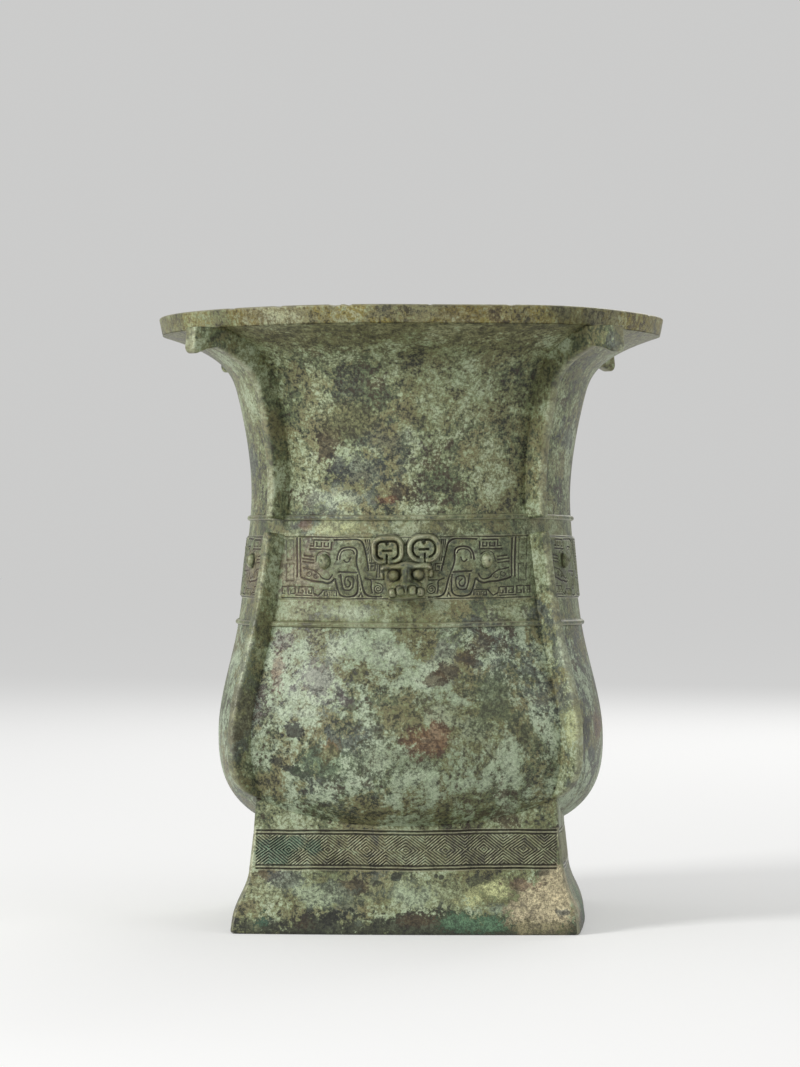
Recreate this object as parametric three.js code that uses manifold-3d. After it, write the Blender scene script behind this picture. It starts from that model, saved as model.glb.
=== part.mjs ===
// A bronze fang zun: a wine vessel with a square foot, a belly that swells out of it,
// a band of ornament and a round trumpet mouth, with a flange up each of its corners.
// Millimetres, +Z up. The origin is the centre of the foot's base, and the front faces -Y.
import * as THREE from 'three';
import { mergeVertices } from 'three/addons/utils/BufferGeometryUtils.js';
import Module from 'manifold-3d';

// Metal and fits
const wall = 3.5;
const floorThickness = 4;
const clearance = 0.3;

// Heights of the zones, stacked from the ground up
const plinthHeight = 10;
const coveHeight = 16.5;
const footBandHeight = 16.5;
const footTopHeight = 13;
const bellyRise = 24;
const shoulderHeight = 47.6;
const ridgeHeight = 2.4;
const lowerPlainHeight = 9;
const bandHeight = 27;
const upperPlainHeight = 6.3;
const neckHeight = 50;
const flareHeight = 27.6;
const lipHeight = 7.7;

// Foot: half-widths at its corners, and how far its faces swell beyond them
const footBaseHalf = 72.9;
const plinthTopHalf = 71.6;
const footBandLowHalf = 65.6;
const footBandTopHalf = 63.8;
const footTopHalf = 62.9;
const footSwell = 2.5;
const covePower = 1.6;

// Body: half-widths at the corners and at the middle of the faces
const bellyCorner = 66.7;
const bellyFace = 83.5;
const shoulderCorner = 58.1;
const shoulderFace = 74.7;
const bandCorner = 54.4;
const bandFace = 71.7;
const waistCorner = 51.4;
const waistFace = 69.4;
const neckTopCorner = 55.7;
const neckTopFace = 75;
const waistRise = 13.3; // height of the narrowest neck above the collar
const bowlDrop = 18; // flat base of the bowl below the foot's top
const bowlBaseCorner = 24;
const bowlBaseFace = 30;
const bowlPower = 2.6; // squareness of the bowl's round underside

// Trumpet and lip: the slopes at which the neck leaves for the mouth, and the round mouth
const cornerFlareSlope = 0.2;
const faceFlareSlope = 0.24;
const flarePower = 3.2;
const lipBottomRadius = 108;
const lipFlare = 1.4; // how much wider the lip is at the rim
const lipWidth = 4;

// Raised ridges and band of the collar
const ridgeRise = 1.3;
const bandRise = 1;
const reliefBevel = 0.6; // height over which a ridge or the band rises from the wall

// Corner flanges
const flangeThickness = 4.4;
const flangeReach = 9;
const flangeRoundOff = 19; // height over which the foot end of a lower flange rounds in
const tabReach = 17; // how far an upper flange ends beyond the lip
const tabHeight = 11;
const tabRound = 4;

// Animal masks: sizes across the face, up the band and out from the wall
const browHalf = 10.5;
const cheekHalf = 9.5;
const chinHalf = 6.5;
const browTop = 2.2; // heights are counted from the middle of the band
const cheekLevel = -5.5;
const chinLevel = -12.6;
const headDepth = 4;
const browHeight = 2.4;
const browDepth = 5.4;
const noseHalf = 1.5;
const noseDepth = 6;
const maskEyeRadius = 2.3;
const maskEyeOut = 5.3;
const maskEyeLevel = -3.2;
const muzzleHalf = 6.6;
const muzzleHalfHeight = 4;
const muzzleLevel = -8.6;
const muzzleDepth = 9;
const hornWidth = 13;
const hornHeight = 11.4;
const hornCorner = 4;
const hornBand = 2.5;
const hornGap = 0.8; // between the two horns
const hornSlit = 0.7; // where the two ends of a horn meet
const hornSink = 0.3; // how far the horns run down into the brow
const hornDepth = 3.2;
const hornPlateDepth = 1.4;
const tenonRadius = 4;
const tenonLength = 2.4;

// Dragon eyes on the band, and the spacers cast into the belly wall
const dragonEyeHalfWidth = 2.3;
const dragonEyeHalfHeight = 3.3;
const dragonEyeDepth = 2.6;
const dragonEyeOut = 33.8;
const dragonEyeLevel = 2.6; // above the middle of the band
const spacerSide = 8.5;
const spacerOut = 45.9;
const spacerRise = 5; // above the widest belly

// Fineness of the faceted surfaces
const stepsPerFace = 10;
const bowlSteps = 6;
const shoulderSteps = 5;
const neckSteps = 4;
const flareSteps = 6;
const coveSteps = 3;
const lipSteps = 2;
const flangeSteps = 10;
const curveSegments = 3;
const roundSides = 10;
const slopeStep = 0.1; // short run of wall over which its slope is taken
const weldDistance = 1e-4;

// Levels that follow from the heights
const coveTop = plinthHeight + coveHeight;
const footBandTop = coveTop + footBandHeight;
const footTop = footBandTop + footTopHeight;
const bowlBottom = footTop - bowlDrop;
const bellyWidest = footTop + bellyRise;
const collarBottom = bellyWidest + shoulderHeight;
const lowerRidgeTop = collarBottom + ridgeHeight;
const bandBottom = lowerRidgeTop + lowerPlainHeight;
const bandTop = bandBottom + bandHeight;
const bandMiddle = (bandBottom + bandTop) / 2;
const upperRidgeBottom = bandTop + upperPlainHeight;
const collarTop = upperRidgeBottom + ridgeHeight;
const waist = collarTop + waistRise;
const neckTop = collarTop + neckHeight;
const lipBottom = neckTop + flareHeight;
const rimTop = lipBottom + lipHeight;
const rimRadius = lipBottomRadius + lipFlare;
const rimInnerRadius = rimRadius - lipWidth;

const up = new THREE.Vector3(0, 0, 1);
const quarterTurn = Math.PI / 2;

const wasm = await Module();
wasm.setup();

// Closed solids for cutting and joining, and back again
function toSolid(geometry) {
  const bare = geometry.clone();
  bare.deleteAttribute('normal');
  bare.deleteAttribute('uv');
  const merged = mergeVertices(bare, weldDistance);
  return new wasm.Manifold(new wasm.Mesh({
    numProp: 3,
    vertProperties: new Float32Array(merged.attributes.position.array),
    triVerts: new Uint32Array(merged.index.array),
  }));
}

function toGeometry(solid) {
  const mesh = solid.getMesh();
  const geometry = new THREE.BufferGeometry();
  geometry.setAttribute('position', new THREE.BufferAttribute(mesh.vertProperties, mesh.numProp));
  geometry.setIndex(new THREE.BufferAttribute(mesh.triVerts, 1));
  geometry.computeVertexNormals();
  return geometry;
}

// A copy of a closed surface, moved out by a distance along its normals
function grown(geometry, distance) {
  const bigger = geometry.clone();
  bigger.computeVertexNormals();
  const { position, normal } = bigger.attributes;
  for (let i = 0; i < position.count; i += 1) {
    const point = new THREE.Vector3().fromBufferAttribute(position, i);
    const direction = new THREE.Vector3().fromBufferAttribute(normal, i);
    point.addScaledVector(direction, distance);
    position.setXYZ(i, point.x, point.y, point.z);
  }
  return bigger;
}

// Evenly spaced values with both ends
function spaced(from, to, steps) {
  return Array.from({ length: steps + 1 }, (_, i) => from + ((to - from) * i) / steps);
}

// A smooth curve through [height, width] stations, with a given slope at each end
function smoothThrough(stations, firstSlope, lastSlope) {
  const last = stations.length - 1;
  const slopes = stations.map((station, i) => {
    if (i === 0) return firstSlope;
    if (i === last) return lastSlope;
    const [lowHeight, lowWidth] = stations[i - 1];
    const [highHeight, highWidth] = stations[i + 1];
    return (highWidth - lowWidth) / (highHeight - lowHeight);
  });
  return (height) => {
    const next = stations.findIndex((station, i) => i > 0 && (i === last || height <= station[0]));
    const [startHeight, startWidth] = stations[next - 1];
    const [endHeight, endWidth] = stations[next];
    const span = endHeight - startHeight;
    const t = (height - startHeight) / span;
    const back = 1 - t;
    const between = startWidth * (1 + 2 * t) * back * back + endWidth * (3 - 2 * t) * t * t;
    return between + span * (slopes[next - 1] * t * back * back - slopes[next] * t * t * back);
  };
}

const bodyCorner = smoothThrough(
  [
    [bellyWidest, bellyCorner],
    [collarBottom, shoulderCorner],
    [bandMiddle, bandCorner],
    [waist, waistCorner],
    [neckTop, neckTopCorner],
  ],
  0,
  cornerFlareSlope,
);
const bodyFace = smoothThrough(
  [
    [bellyWidest, bellyFace],
    [collarBottom, shoulderFace],
    [bandMiddle, bandFace],
    [waist, waistFace],
    [neckTop, neckTopFace],
  ],
  0,
  faceFlareSlope,
);

// The trumpet leaves the neck at a slope and turns outwards ever faster
function flareOut(height, end, startWidth, endWidth, slope) {
  const share = (height - neckTop) / (end - neckTop);
  const straight = slope * (end - neckTop);
  return startWidth + straight * share + (endWidth - startWidth - straight) * share ** flarePower;
}

function outerCorner(height) {
  if (height <= neckTop) return bodyCorner(height);
  return flareOut(height, lipBottom, neckTopCorner, lipBottomRadius / Math.SQRT2, cornerFlareSlope);
}

function outerFace(height) {
  if (height <= neckTop) return bodyFace(height);
  return flareOut(height, lipBottom, neckTopFace, lipBottomRadius, faceFlareSlope);
}

function innerCorner(height) {
  if (height <= neckTop) return bodyCorner(height) - wall;
  return flareOut(height, rimTop, neckTopCorner - wall, rimInnerRadius / Math.SQRT2, cornerFlareSlope);
}

function innerFace(height) {
  if (height <= neckTop) return bodyFace(height) - wall;
  return flareOut(height, rimTop, neckTopFace - wall, rimInnerRadius, faceFlareSlope);
}

// One level section: corners of a square joined by four arcs that swell to the face's half-width
function ring(height, corner, face) {
  const halfAngle = 2 * Math.atan2(face - corner, corner);
  const scale = corner / Math.sin(halfAngle);
  const points = [];
  for (let side = 0; side < 4; side += 1) {
    for (let step = 0; step < stepsPerFace; step += 1) {
      const angle = halfAngle * ((2 * step) / stepsPerFace - 1);
      const across = scale * Math.sin(angle);
      const out = corner + scale * (Math.cos(angle) - Math.cos(halfAngle));
      points.push(new THREE.Vector3(across, -out, height).applyAxisAngle(up, side * quarterTurn));
    }
  }
  return points;
}

function roundRing(height, radius) {
  return ring(height, radius / Math.SQRT2, radius);
}

function outerRing(height, rise = 0) {
  return ring(height, outerCorner(height) + rise, outerFace(height) + rise);
}

function innerRing(height) {
  return ring(height, innerCorner(height), innerFace(height));
}

// A skin over a run of rings, closed by a cap at each end or by joining the last ring to the first
function loft(rings, capped) {
  const count = rings[0].length;
  const points = rings.flat();
  const index = [];
  const wraps = capped ? rings.length - 1 : rings.length;
  for (let i = 0; i < wraps; i += 1) {
    const low = i * count;
    const high = ((i + 1) % rings.length) * count;
    for (let j = 0; j < count; j += 1) {
      const next = (j + 1) % count;
      index.push(low + j, low + next, high + next, low + j, high + next, high + j);
    }
  }
  if (capped) {
    const lastStart = (rings.length - 1) * count;
    const bottom = points.push(new THREE.Vector3(0, 0, rings[0][0].z)) - 1;
    const top = points.push(new THREE.Vector3(0, 0, rings.at(-1)[0].z)) - 1;
    for (let j = 0; j < count; j += 1) {
      const next = (j + 1) % count;
      index.push(bottom, next, j, lastStart + j, lastStart + next, top);
    }
  }
  const geometry = new THREE.BufferGeometry().setFromPoints(points);
  geometry.setIndex(index);
  geometry.computeVertexNormals();
  return geometry;
}

// The bowl's rounded underside, from its flat base to the widest belly
function bowlRings(bottom, corner, face) {
  return spaced(0, quarterTurn, bowlSteps).map((turn) => {
    const drop = Math.max(Math.cos(turn), 0) ** (2 / bowlPower);
    const spread = Math.sin(turn) ** (2 / bowlPower);
    return ring(
      bellyWidest - (bellyWidest - bottom) * drop,
      bowlBaseCorner + (corner - bowlBaseCorner) * spread,
      bowlBaseFace + (face - bowlBaseFace) * spread,
    );
  });
}

const shoulderLevels = spaced(bellyWidest, collarBottom, shoulderSteps).slice(1);
const bellyOuter = [
  ...bowlRings(bowlBottom, bellyCorner, bellyFace),
  ...shoulderLevels.map((height) => outerRing(height)),
];
const bellyInner = [
  ...bowlRings(bowlBottom + floorThickness, bellyCorner - wall, bellyFace - wall),
  ...shoulderLevels.map(innerRing),
];

// The collar carries a ridge at each end and the raised ornament band between them
function ridgeRings(bottom) {
  return [
    outerRing(bottom),
    outerRing(bottom + reliefBevel, ridgeRise),
    outerRing(bottom + ridgeHeight - reliefBevel, ridgeRise),
    outerRing(bottom + ridgeHeight),
  ];
}
const collarOuter = [
  ...ridgeRings(collarBottom),
  outerRing(bandBottom),
  outerRing(bandBottom + reliefBevel, bandRise),
  outerRing(bandMiddle, bandRise),
  outerRing(bandTop - reliefBevel, bandRise),
  outerRing(bandTop),
  ...ridgeRings(upperRidgeBottom),
];
const collarInner = [collarBottom, bandBottom, bandMiddle, bandTop, collarTop].map(innerRing);

// The neck and trumpet, with closer rings where the trumpet turns out
const neckLevels = [
  ...spaced(collarTop, neckTop, neckSteps),
  ...spaced(0, 1, flareSteps).slice(1).map((share) => neckTop + flareHeight * Math.sqrt(share)),
];
const neckOuter = neckLevels.map((height) => outerRing(height));
const neckInner = neckLevels.map(innerRing);
const lipOuter = [roundRing(lipBottom, lipBottomRadius), roundRing(rimTop, rimRadius)];
const lipInner = spaced(lipBottom, rimTop, lipSteps).map(innerRing);

// The square foot: plinth, hollow cove, ornament band and a plain top that runs on into the bowl
const footProfile = [
  [0, footBaseHalf],
  ...spaced(0, 1, coveSteps).slice(0, -1).map((share) => [
    plinthHeight + coveHeight * share,
    footBandLowHalf + (plinthTopHalf - footBandLowHalf) * (1 - share) ** covePower,
  ]),
  [coveTop, footBandLowHalf],
  [footBandTop, footBandTopHalf],
  [footTop, footTopHalf],
  [bellyWidest, footTopHalf],
];

function footRings(inset) {
  return footProfile.map(([height, half]) => ring(height, half - inset, half + footSwell - inset));
}

// A shell from its outer and inner rings
function shell(outer, inner, capped = false) {
  return loft([...outer, ...inner.toReversed()], capped);
}

// Filled outlines, a clearance larger than the metal, that cut the pieces seated on it
const bowlOutline = toSolid(grown(loft(bellyOuter, true), clearance));
const bodyRings = [
  ...bellyOuter,
  ...collarOuter.slice(1),
  ...neckOuter.slice(1),
  ...lipOuter.slice(1),
];
const bodyOutline = toSolid(grown(loft(bodyRings, true), clearance))
  .add(toSolid(grown(loft(footRings(0), true), clearance)));

// A point on a face of the body, and the way the wall looks there
function faceSeat(across, corner, face) {
  const swell = face - corner;
  const radius = (corner * corner + swell * swell) / (2 * swell);
  const turn = Math.asin(across / radius);
  return { out: face - radius + radius * Math.cos(turn), turn };
}

// Moves a geometry made about the origin, looking along -Y, to a seat on the front face
function seatOnFront(geometry, across, level, corner, face) {
  const seat = faceSeat(across, corner, face);
  return geometry.rotateZ(seat.turn).translate(across, -seat.out, level);
}

// Flange plates stand in the diagonal planes. Their outlines are drawn as radius and height.
function flangeEdge(height) {
  const rise = outerCorner(height) - outerCorner(height - slopeStep);
  const slope = (rise * Math.SQRT2) / slopeStep;
  const edge = new THREE.Vector2(1, -slope).setLength(flangeReach);
  return edge.add(new THREE.Vector2(outerCorner(height) * Math.SQRT2, height));
}

function flangePlate(outline) {
  const plate = new THREE.ExtrudeGeometry(outline, {
    depth: flangeThickness,
    bevelEnabled: false,
    curveSegments,
  });
  plate.translate(0, 0, -flangeThickness / 2).rotateX(quarterTurn).rotateZ(-quarterTurn / 2);
  return toGeometry(toSolid(plate).subtract(bodyOutline));
}

function lowerFlange() {
  const root = bandCorner * Math.SQRT2 - wall;
  const footCorner = footTopHalf * Math.SQRT2;
  const turnLevel = footTop + flangeRoundOff;
  const belly = bellyCorner * Math.SQRT2 + flangeReach;
  const outline = new THREE.Shape();
  outline.moveTo(root, footTop);
  outline.lineTo(footCorner, footTop);
  outline.quadraticCurveTo(belly, footTop + flangeReach / 2, belly, turnLevel);
  spaced(bellyWidest, bandTop, flangeSteps).forEach((height) => {
    const edge = flangeEdge(height);
    outline.lineTo(edge.x, edge.y);
  });
  outline.lineTo(root, bandTop);
  return flangePlate(outline);
}

function upperFlange() {
  const root = waistCorner * Math.SQRT2 - wall;
  const tabEnd = lipBottomRadius + tabReach;
  const tabBottom = lipBottom - tabHeight;
  const outline = new THREE.Shape();
  outline.moveTo(root, upperRidgeBottom);
  spaced(0, 1, flangeSteps).forEach((share) => {
    const edge = flangeEdge(upperRidgeBottom + (lipBottom - upperRidgeBottom) * Math.sqrt(share));
    outline.lineTo(edge.x, edge.y);
  });
  outline.lineTo(tabEnd - tabRound, tabBottom);
  outline.quadraticCurveTo(tabEnd, tabBottom, tabEnd, tabBottom + tabRound);
  outline.lineTo(tabEnd, lipBottom);
  outline.lineTo(root, lipBottom);
  return flangePlate(outline);
}

// Mask pieces are drawn on the front face: x across, y up from the band's middle, and extruded out
function standOut(outline, depth) {
  const seat = bandFace - wall;
  const block = new THREE.ExtrudeGeometry(outline, {
    depth: wall + bandRise + depth,
    bevelEnabled: false,
    curveSegments,
  });
  return toSolid(block.rotateX(quarterTurn).translate(0, -seat, bandMiddle));
}

function roundedBox(shape, left, bottom, width, height, corner) {
  shape.moveTo(left + corner, bottom);
  shape.lineTo(left + width - corner, bottom);
  shape.quadraticCurveTo(left + width, bottom, left + width, bottom + corner);
  shape.lineTo(left + width, bottom + height - corner);
  shape.quadraticCurveTo(left + width, bottom + height, left + width - corner, bottom + height);
  shape.lineTo(left + corner, bottom + height);
  shape.quadraticCurveTo(left, bottom + height, left, bottom + height - corner);
  shape.lineTo(left, bottom + corner);
  shape.quadraticCurveTo(left, bottom, left + corner, bottom);
  return shape;
}

function block(left, bottom, width, height) {
  const outline = new THREE.Shape();
  outline.moveTo(left, bottom);
  outline.lineTo(left + width, bottom);
  outline.lineTo(left + width, bottom + height);
  outline.lineTo(left, bottom + height);
  return outline;
}

// A curled horn: a plate with a raised band round it, slit where the band's two ends meet
function horn(side) {
  const left = side > 0 ? hornGap / 2 : -hornGap / 2 - hornWidth;
  const bottom = browTop - hornSink;
  const middle = left + hornWidth / 2;
  const innerCornerRound = hornCorner - hornBand / 2;
  const plate = roundedBox(new THREE.Shape(), left, bottom, hornWidth, hornHeight, hornCorner);
  const band = plate.clone();
  band.holes.push(roundedBox(
    new THREE.Path(),
    left + hornBand,
    bottom + hornBand,
    hornWidth - 2 * hornBand,
    hornHeight - 2 * hornBand,
    innerCornerRound,
  ));
  const slit = block(middle - hornSlit / 2, bottom, hornSlit, hornBand);
  const slitAbovePlate = standOut(slit, hornDepth).subtract(standOut(slit, hornPlateDepth));
  return standOut(band, hornDepth).add(standOut(plate, hornPlateDepth)).subtract(slitAbovePlate);
}

function ball(x, level, halfWidth, halfDepth, halfHeight, out) {
  const sphere = new THREE.SphereGeometry(1, roundSides, roundSides / 2);
  sphere.scale(halfWidth, halfDepth, halfHeight);
  return toSolid(sphere.translate(x, -bandFace - bandRise - out, bandMiddle + level));
}

function tenon(gap) {
  const length = tenonLength + headDepth / 2 + gap;
  const pin = new THREE.CylinderGeometry(tenonRadius + gap, tenonRadius + gap, length, roundSides);
  const innerEnd = bandFace + bandRise - tenonLength - gap;
  return toSolid(pin.translate(0, innerEnd + length / 2, 0).rotateZ(Math.PI)
    .translate(0, 0, bandMiddle + (chinLevel + browTop) / 2));
}

function animalMask() {
  const head = new THREE.Shape();
  head.moveTo(-chinHalf, chinLevel);
  head.lineTo(chinHalf, chinLevel);
  head.lineTo(cheekHalf, cheekLevel);
  head.lineTo(browHalf, browTop);
  head.lineTo(-browHalf, browTop);
  head.lineTo(-cheekHalf, cheekLevel);
  const brow = block(-browHalf, browTop - browHeight, 2 * browHalf, browHeight);
  const nose = block(-noseHalf, muzzleLevel, 2 * noseHalf, browTop - muzzleLevel);
  return standOut(head, headDepth)
    .add(standOut(brow, browDepth))
    .add(standOut(nose, noseDepth))
    .add(ball(0, muzzleLevel, muzzleHalf, muzzleDepth - headDepth / 2, muzzleHalfHeight, headDepth / 2))
    .add(ball(-maskEyeOut, maskEyeLevel, maskEyeRadius, maskEyeRadius, maskEyeRadius, headDepth))
    .add(ball(maskEyeOut, maskEyeLevel, maskEyeRadius, maskEyeRadius, maskEyeRadius, headDepth))
    .add(horn(-1))
    .add(horn(1))
    .subtract(bodyOutline)
    .add(tenon(0));
}

// A dragon's eye is a rounded boss bedded in the band
function dragonEye(side, gap) {
  const boss = new THREE.SphereGeometry(1, roundSides, roundSides / 2);
  boss.scale(dragonEyeHalfWidth + gap, dragonEyeDepth + gap, dragonEyeHalfHeight + gap);
  const level = bandMiddle + dragonEyeLevel;
  const corner = outerCorner(level) + bandRise;
  const face = outerFace(level) + bandRise;
  return seatOnFront(boss, side * dragonEyeOut, level, corner, face);
}

// A spacer is a square of metal as thick as the wall that it is cast into
function spacerBlock(gap) {
  const side = spacerSide + 2 * gap;
  const level = bellyWidest + spacerRise;
  const cube = new THREE.BoxGeometry(side, 4 * wall, side);
  return seatOnFront(cube, -spacerOut, level, outerCorner(level), outerFace(level));
}

// The mould section of one face, between the planes through its two corners. Each is made at the
// front, so the pockets for spacer, eyes and mask are cut there alone, and turned to its own side.
function frontSection(solid) {
  return toGeometry(solid.trimByPlane([1, -1, 0], 0).trimByPlane([-1, -1, 0], 0));
}

const bellyShell = shell(bellyOuter, bellyInner, true);
const belly = toSolid(bellyShell).subtract(toSolid(spacerBlock(clearance)));
const spacer = toSolid(bellyShell).intersect(toSolid(spacerBlock(0)));
const foot = toSolid(shell(footRings(0), footRings(wall))).subtract(bowlOutline);
const collar = toSolid(shell(collarOuter, collarInner))
  .subtract(toSolid(dragonEye(-1, clearance)))
  .subtract(toSolid(dragonEye(1, clearance)));
const maskedCollar = collar.subtract(tenon(clearance));
const neck = toSolid(shell(neckOuter, neckInner));

// The bowl's base is closed off by the foot's top, and the belly's walls stand on it
const bowlBase = belly.trimByPlane([0, 0, -1], -footTop);
const bellyWalls = belly.trimByPlane([0, 0, 1], footTop);

// The assembled vessel
const vessel = new THREE.Group();

function addPiece(name, geometry, color, roughness, turn = 0) {
  const material = new THREE.MeshStandardMaterial({ color, roughness, metalness: 0.35 });
  const mesh = new THREE.Mesh(geometry, material);
  mesh.name = name;
  mesh.rotation.z = turn;
  vessel.add(mesh);
}

const paleGreen = 0x8b9680;
const greyGreen = 0x7d8873;
const olive = 0x77765e;
const darkPatch = 0x454b44;

addPiece('bowl_base', toGeometry(bowlBase), paleGreen, 0.68);
addPiece('mouth_lip', shell(lipOuter, lipInner), olive, 0.62);

['front_right', 'back_right', 'back_left', 'front_left'].forEach((corner, i) => {
  addPiece(`lower_flange_${corner}`, lowerFlange(), paleGreen, 0.66, i * quarterTurn);
  addPiece(`upper_flange_${corner}`, upperFlange(), greyGreen, 0.66, i * quarterTurn);
});

['front', 'right', 'back', 'left'].forEach((face, i) => {
  const turn = i * quarterTurn;
  addPiece(`foot_wall_${face}`, frontSection(foot), greyGreen, 0.72, turn);
  addPiece(`belly_wall_${face}`, frontSection(bellyWalls), paleGreen, 0.68, turn);
  const hasMask = i % 2 === 0;
  addPiece(`band_wall_${face}`, frontSection(hasMask ? maskedCollar : collar), greyGreen, 0.7, turn);
  addPiece(`neck_wall_${face}`, frontSection(neck), greyGreen, 0.66, turn);
  if (hasMask) addPiece(`animal_mask_${face}`, toGeometry(animalMask()), greyGreen, 0.64, turn);
  addPiece(`dragon_eye_${face}_a`, dragonEye(-1, 0), olive, 0.6, turn);
  addPiece(`dragon_eye_${face}_b`, dragonEye(1, 0), olive, 0.6, turn);
  addPiece(`wall_spacer_${face}`, toGeometry(spacer), darkPatch, 0.75, turn);
});

export default vessel;
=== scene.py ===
import bpy
import bmesh
import numpy as np
from math import pi, radians
from mathutils import Matrix, Vector


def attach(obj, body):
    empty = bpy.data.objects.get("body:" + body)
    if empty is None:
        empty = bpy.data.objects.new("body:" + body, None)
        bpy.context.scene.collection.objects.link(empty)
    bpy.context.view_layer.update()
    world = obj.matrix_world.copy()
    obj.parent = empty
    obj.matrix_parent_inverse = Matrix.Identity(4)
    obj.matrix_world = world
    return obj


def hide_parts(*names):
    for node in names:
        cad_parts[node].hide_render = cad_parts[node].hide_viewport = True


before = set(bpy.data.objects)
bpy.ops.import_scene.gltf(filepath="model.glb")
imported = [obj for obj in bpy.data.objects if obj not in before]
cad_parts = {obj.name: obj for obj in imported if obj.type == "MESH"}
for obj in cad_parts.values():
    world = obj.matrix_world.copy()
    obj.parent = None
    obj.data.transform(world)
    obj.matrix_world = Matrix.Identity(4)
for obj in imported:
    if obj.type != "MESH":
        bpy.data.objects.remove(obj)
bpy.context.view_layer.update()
sides = ("front", "right", "back", "left")
cornerNames = ("front_right", "back_right", "back_left", "front_left")
mm = 0.001
print("frame loaded")


# The body's form: half-widths at the corners and at the middle of the faces, by height, in mm
form = {
    "wall": 3.5,
    "corner": ((80, 66.7), (127.6, 58.1), (152.5, 54.4), (188, 51.4), (224.7, 55.7)),
    "face": ((80, 83.5), (127.6, 74.7), (152.5, 71.7), (188, 69.4), (224.7, 75)),
    "cornerSlope": 0.2,
    "faceSlope": 0.24,
    "flarePower": 3.2,  # how late the trumpet opens
    "bellyWidest": 80,
    "collarBottom": 127.6,
    "bandBottom": 139,
    "bandTop": 166,
    "bandMiddle": 152.5,
    "upperRidge": 172.3,
    "collarTop": 174.7,
    "neckTop": 224.7,
    "lipBottom": 252.3,
    "rimTop": 260,
    "lipRadius": 108,
    "rimRadius": 109.4,
    "rimInner": 105.4,
}
widestCorner, widestFace = form["corner"][0][1], form["face"][0][1]
neckCorner, neckFace = form["corner"][-1][1], form["face"][-1][1]
diagonal = 2 ** 0.5  # a corner's distance from the axis, over its half-width


def through(stations, firstSlope, lastSlope):
    heights, widths = (np.array(v, float) for v in zip(*stations))
    slopes = np.array([firstSlope] + [0] * (len(heights) - 2) + [lastSlope], float)
    slopes[1:-1] = (widths[2:] - widths[:-2]) / (heights[2:] - heights[:-2])

    def width(z):
        i = np.clip(np.searchsorted(heights, z) - 1, 0, len(heights) - 2)
        span = heights[i + 1] - heights[i]
        t = (z - heights[i]) / span
        back = 1 - t
        between = widths[i] * (1 + 2 * t) * back ** 2 + widths[i + 1] * (3 - 2 * t) * t ** 2
        return between + span * (slopes[i] * t * back ** 2 - slopes[i + 1] * t ** 2 * back)
    return width


bodyCorner = through(form["corner"], 0, form["cornerSlope"])
bodyFace = through(form["face"], 0, form["faceSlope"])


def flareOut(z, end, start, finish, slope):
    share = np.clip((z - form["neckTop"]) / (end - form["neckTop"]), 0, 1)
    straight = slope * (end - form["neckTop"])
    return start + straight * share + (finish - start - straight) * share ** form["flarePower"]


def outerCorner(z):
    flare = flareOut(z, form["lipBottom"], neckCorner, form["lipRadius"] / diagonal, form["cornerSlope"])
    return np.where(z > form["neckTop"], flare, bodyCorner(z))


def outerFace(z):
    flare = flareOut(z, form["lipBottom"], neckFace, form["lipRadius"], form["faceSlope"])
    return np.where(z > form["neckTop"], flare, bodyFace(z))


def innerCorner(z):
    start = neckCorner - form["wall"]
    flare = flareOut(z, form["rimTop"], start, form["rimInner"] / diagonal, form["cornerSlope"])
    return np.where(z > form["neckTop"], flare, bodyCorner(z) - form["wall"])


def innerFace(z):
    start = neckFace - form["wall"]
    flare = flareOut(z, form["rimTop"], start, form["rimInner"], form["faceSlope"])
    return np.where(z > form["neckTop"], flare, bodyFace(z) - form["wall"])


# A point on one face: u runs from corner to corner, and rise stands out along the wall's normal
def facePoint(u, corner, face, rise=0.0):
    half = 2 * np.arctan2(face - corner, corner)
    radius = corner / np.sin(half)
    angle = half * u
    across = radius * np.sin(angle) + rise * np.sin(angle)
    out = corner + radius * (np.cos(angle) - np.cos(half)) + rise * np.cos(angle)
    return across, out


def outAt(across, corner, face):
    half = 2 * np.arctan2(face - corner, corner)
    radius = corner / np.sin(half)
    return corner + radius * (np.cos(np.arcsin(np.clip(across / radius, -1, 1))) - np.cos(half))


# Rounds a square corner: points near it slide along and in
def roundCorner(across, out, corner, radius):
    share = np.clip((corner - np.abs(across)) / radius, 0, 1)
    t = (1 - share) / 2
    slide = radius * ((1 - t) ** 2 - share)
    return across - np.sign(across) * slide, out - radius * t ** 2


# The slight unevenness of a hand-made mould, the same for every piece; the foot still stands flat
mould = {"sway": (0.24, 0.2), "heave": (0.24, 0.18), "settle": 15}


def handMade(p):
    x, y, z = p[..., 0], p[..., 1], p[..., 2]
    (sway, twist), (heave, ripple) = mould["sway"], mould["heave"]
    lift = np.clip(z / mould["settle"], 0, 1)
    q = p.copy()
    q[..., 0] += sway * np.sin(z / 31 + 0.7) + twist * np.sin(y / 23 + z / 57 + 2.1)
    q[..., 1] += sway * np.sin(z / 37 + 2.9) + twist * np.sin(x / 26 + z / 49 + 0.4)
    q[..., 2] += lift * (heave * np.sin(x / 29 + y / 53 + 1.1) + ripple * np.sin(y / 31 + x / 17 + 0.3))
    return q


def turned(p, quarter):
    c, s = ((1, 0), (0, 1), (-1, 0), (0, -1))[quarter % 4]
    q = p.copy()
    q[..., 0] = c * p[..., 0] - s * p[..., 1]
    q[..., 1] = s * p[..., 0] + c * p[..., 1]
    return q


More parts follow.
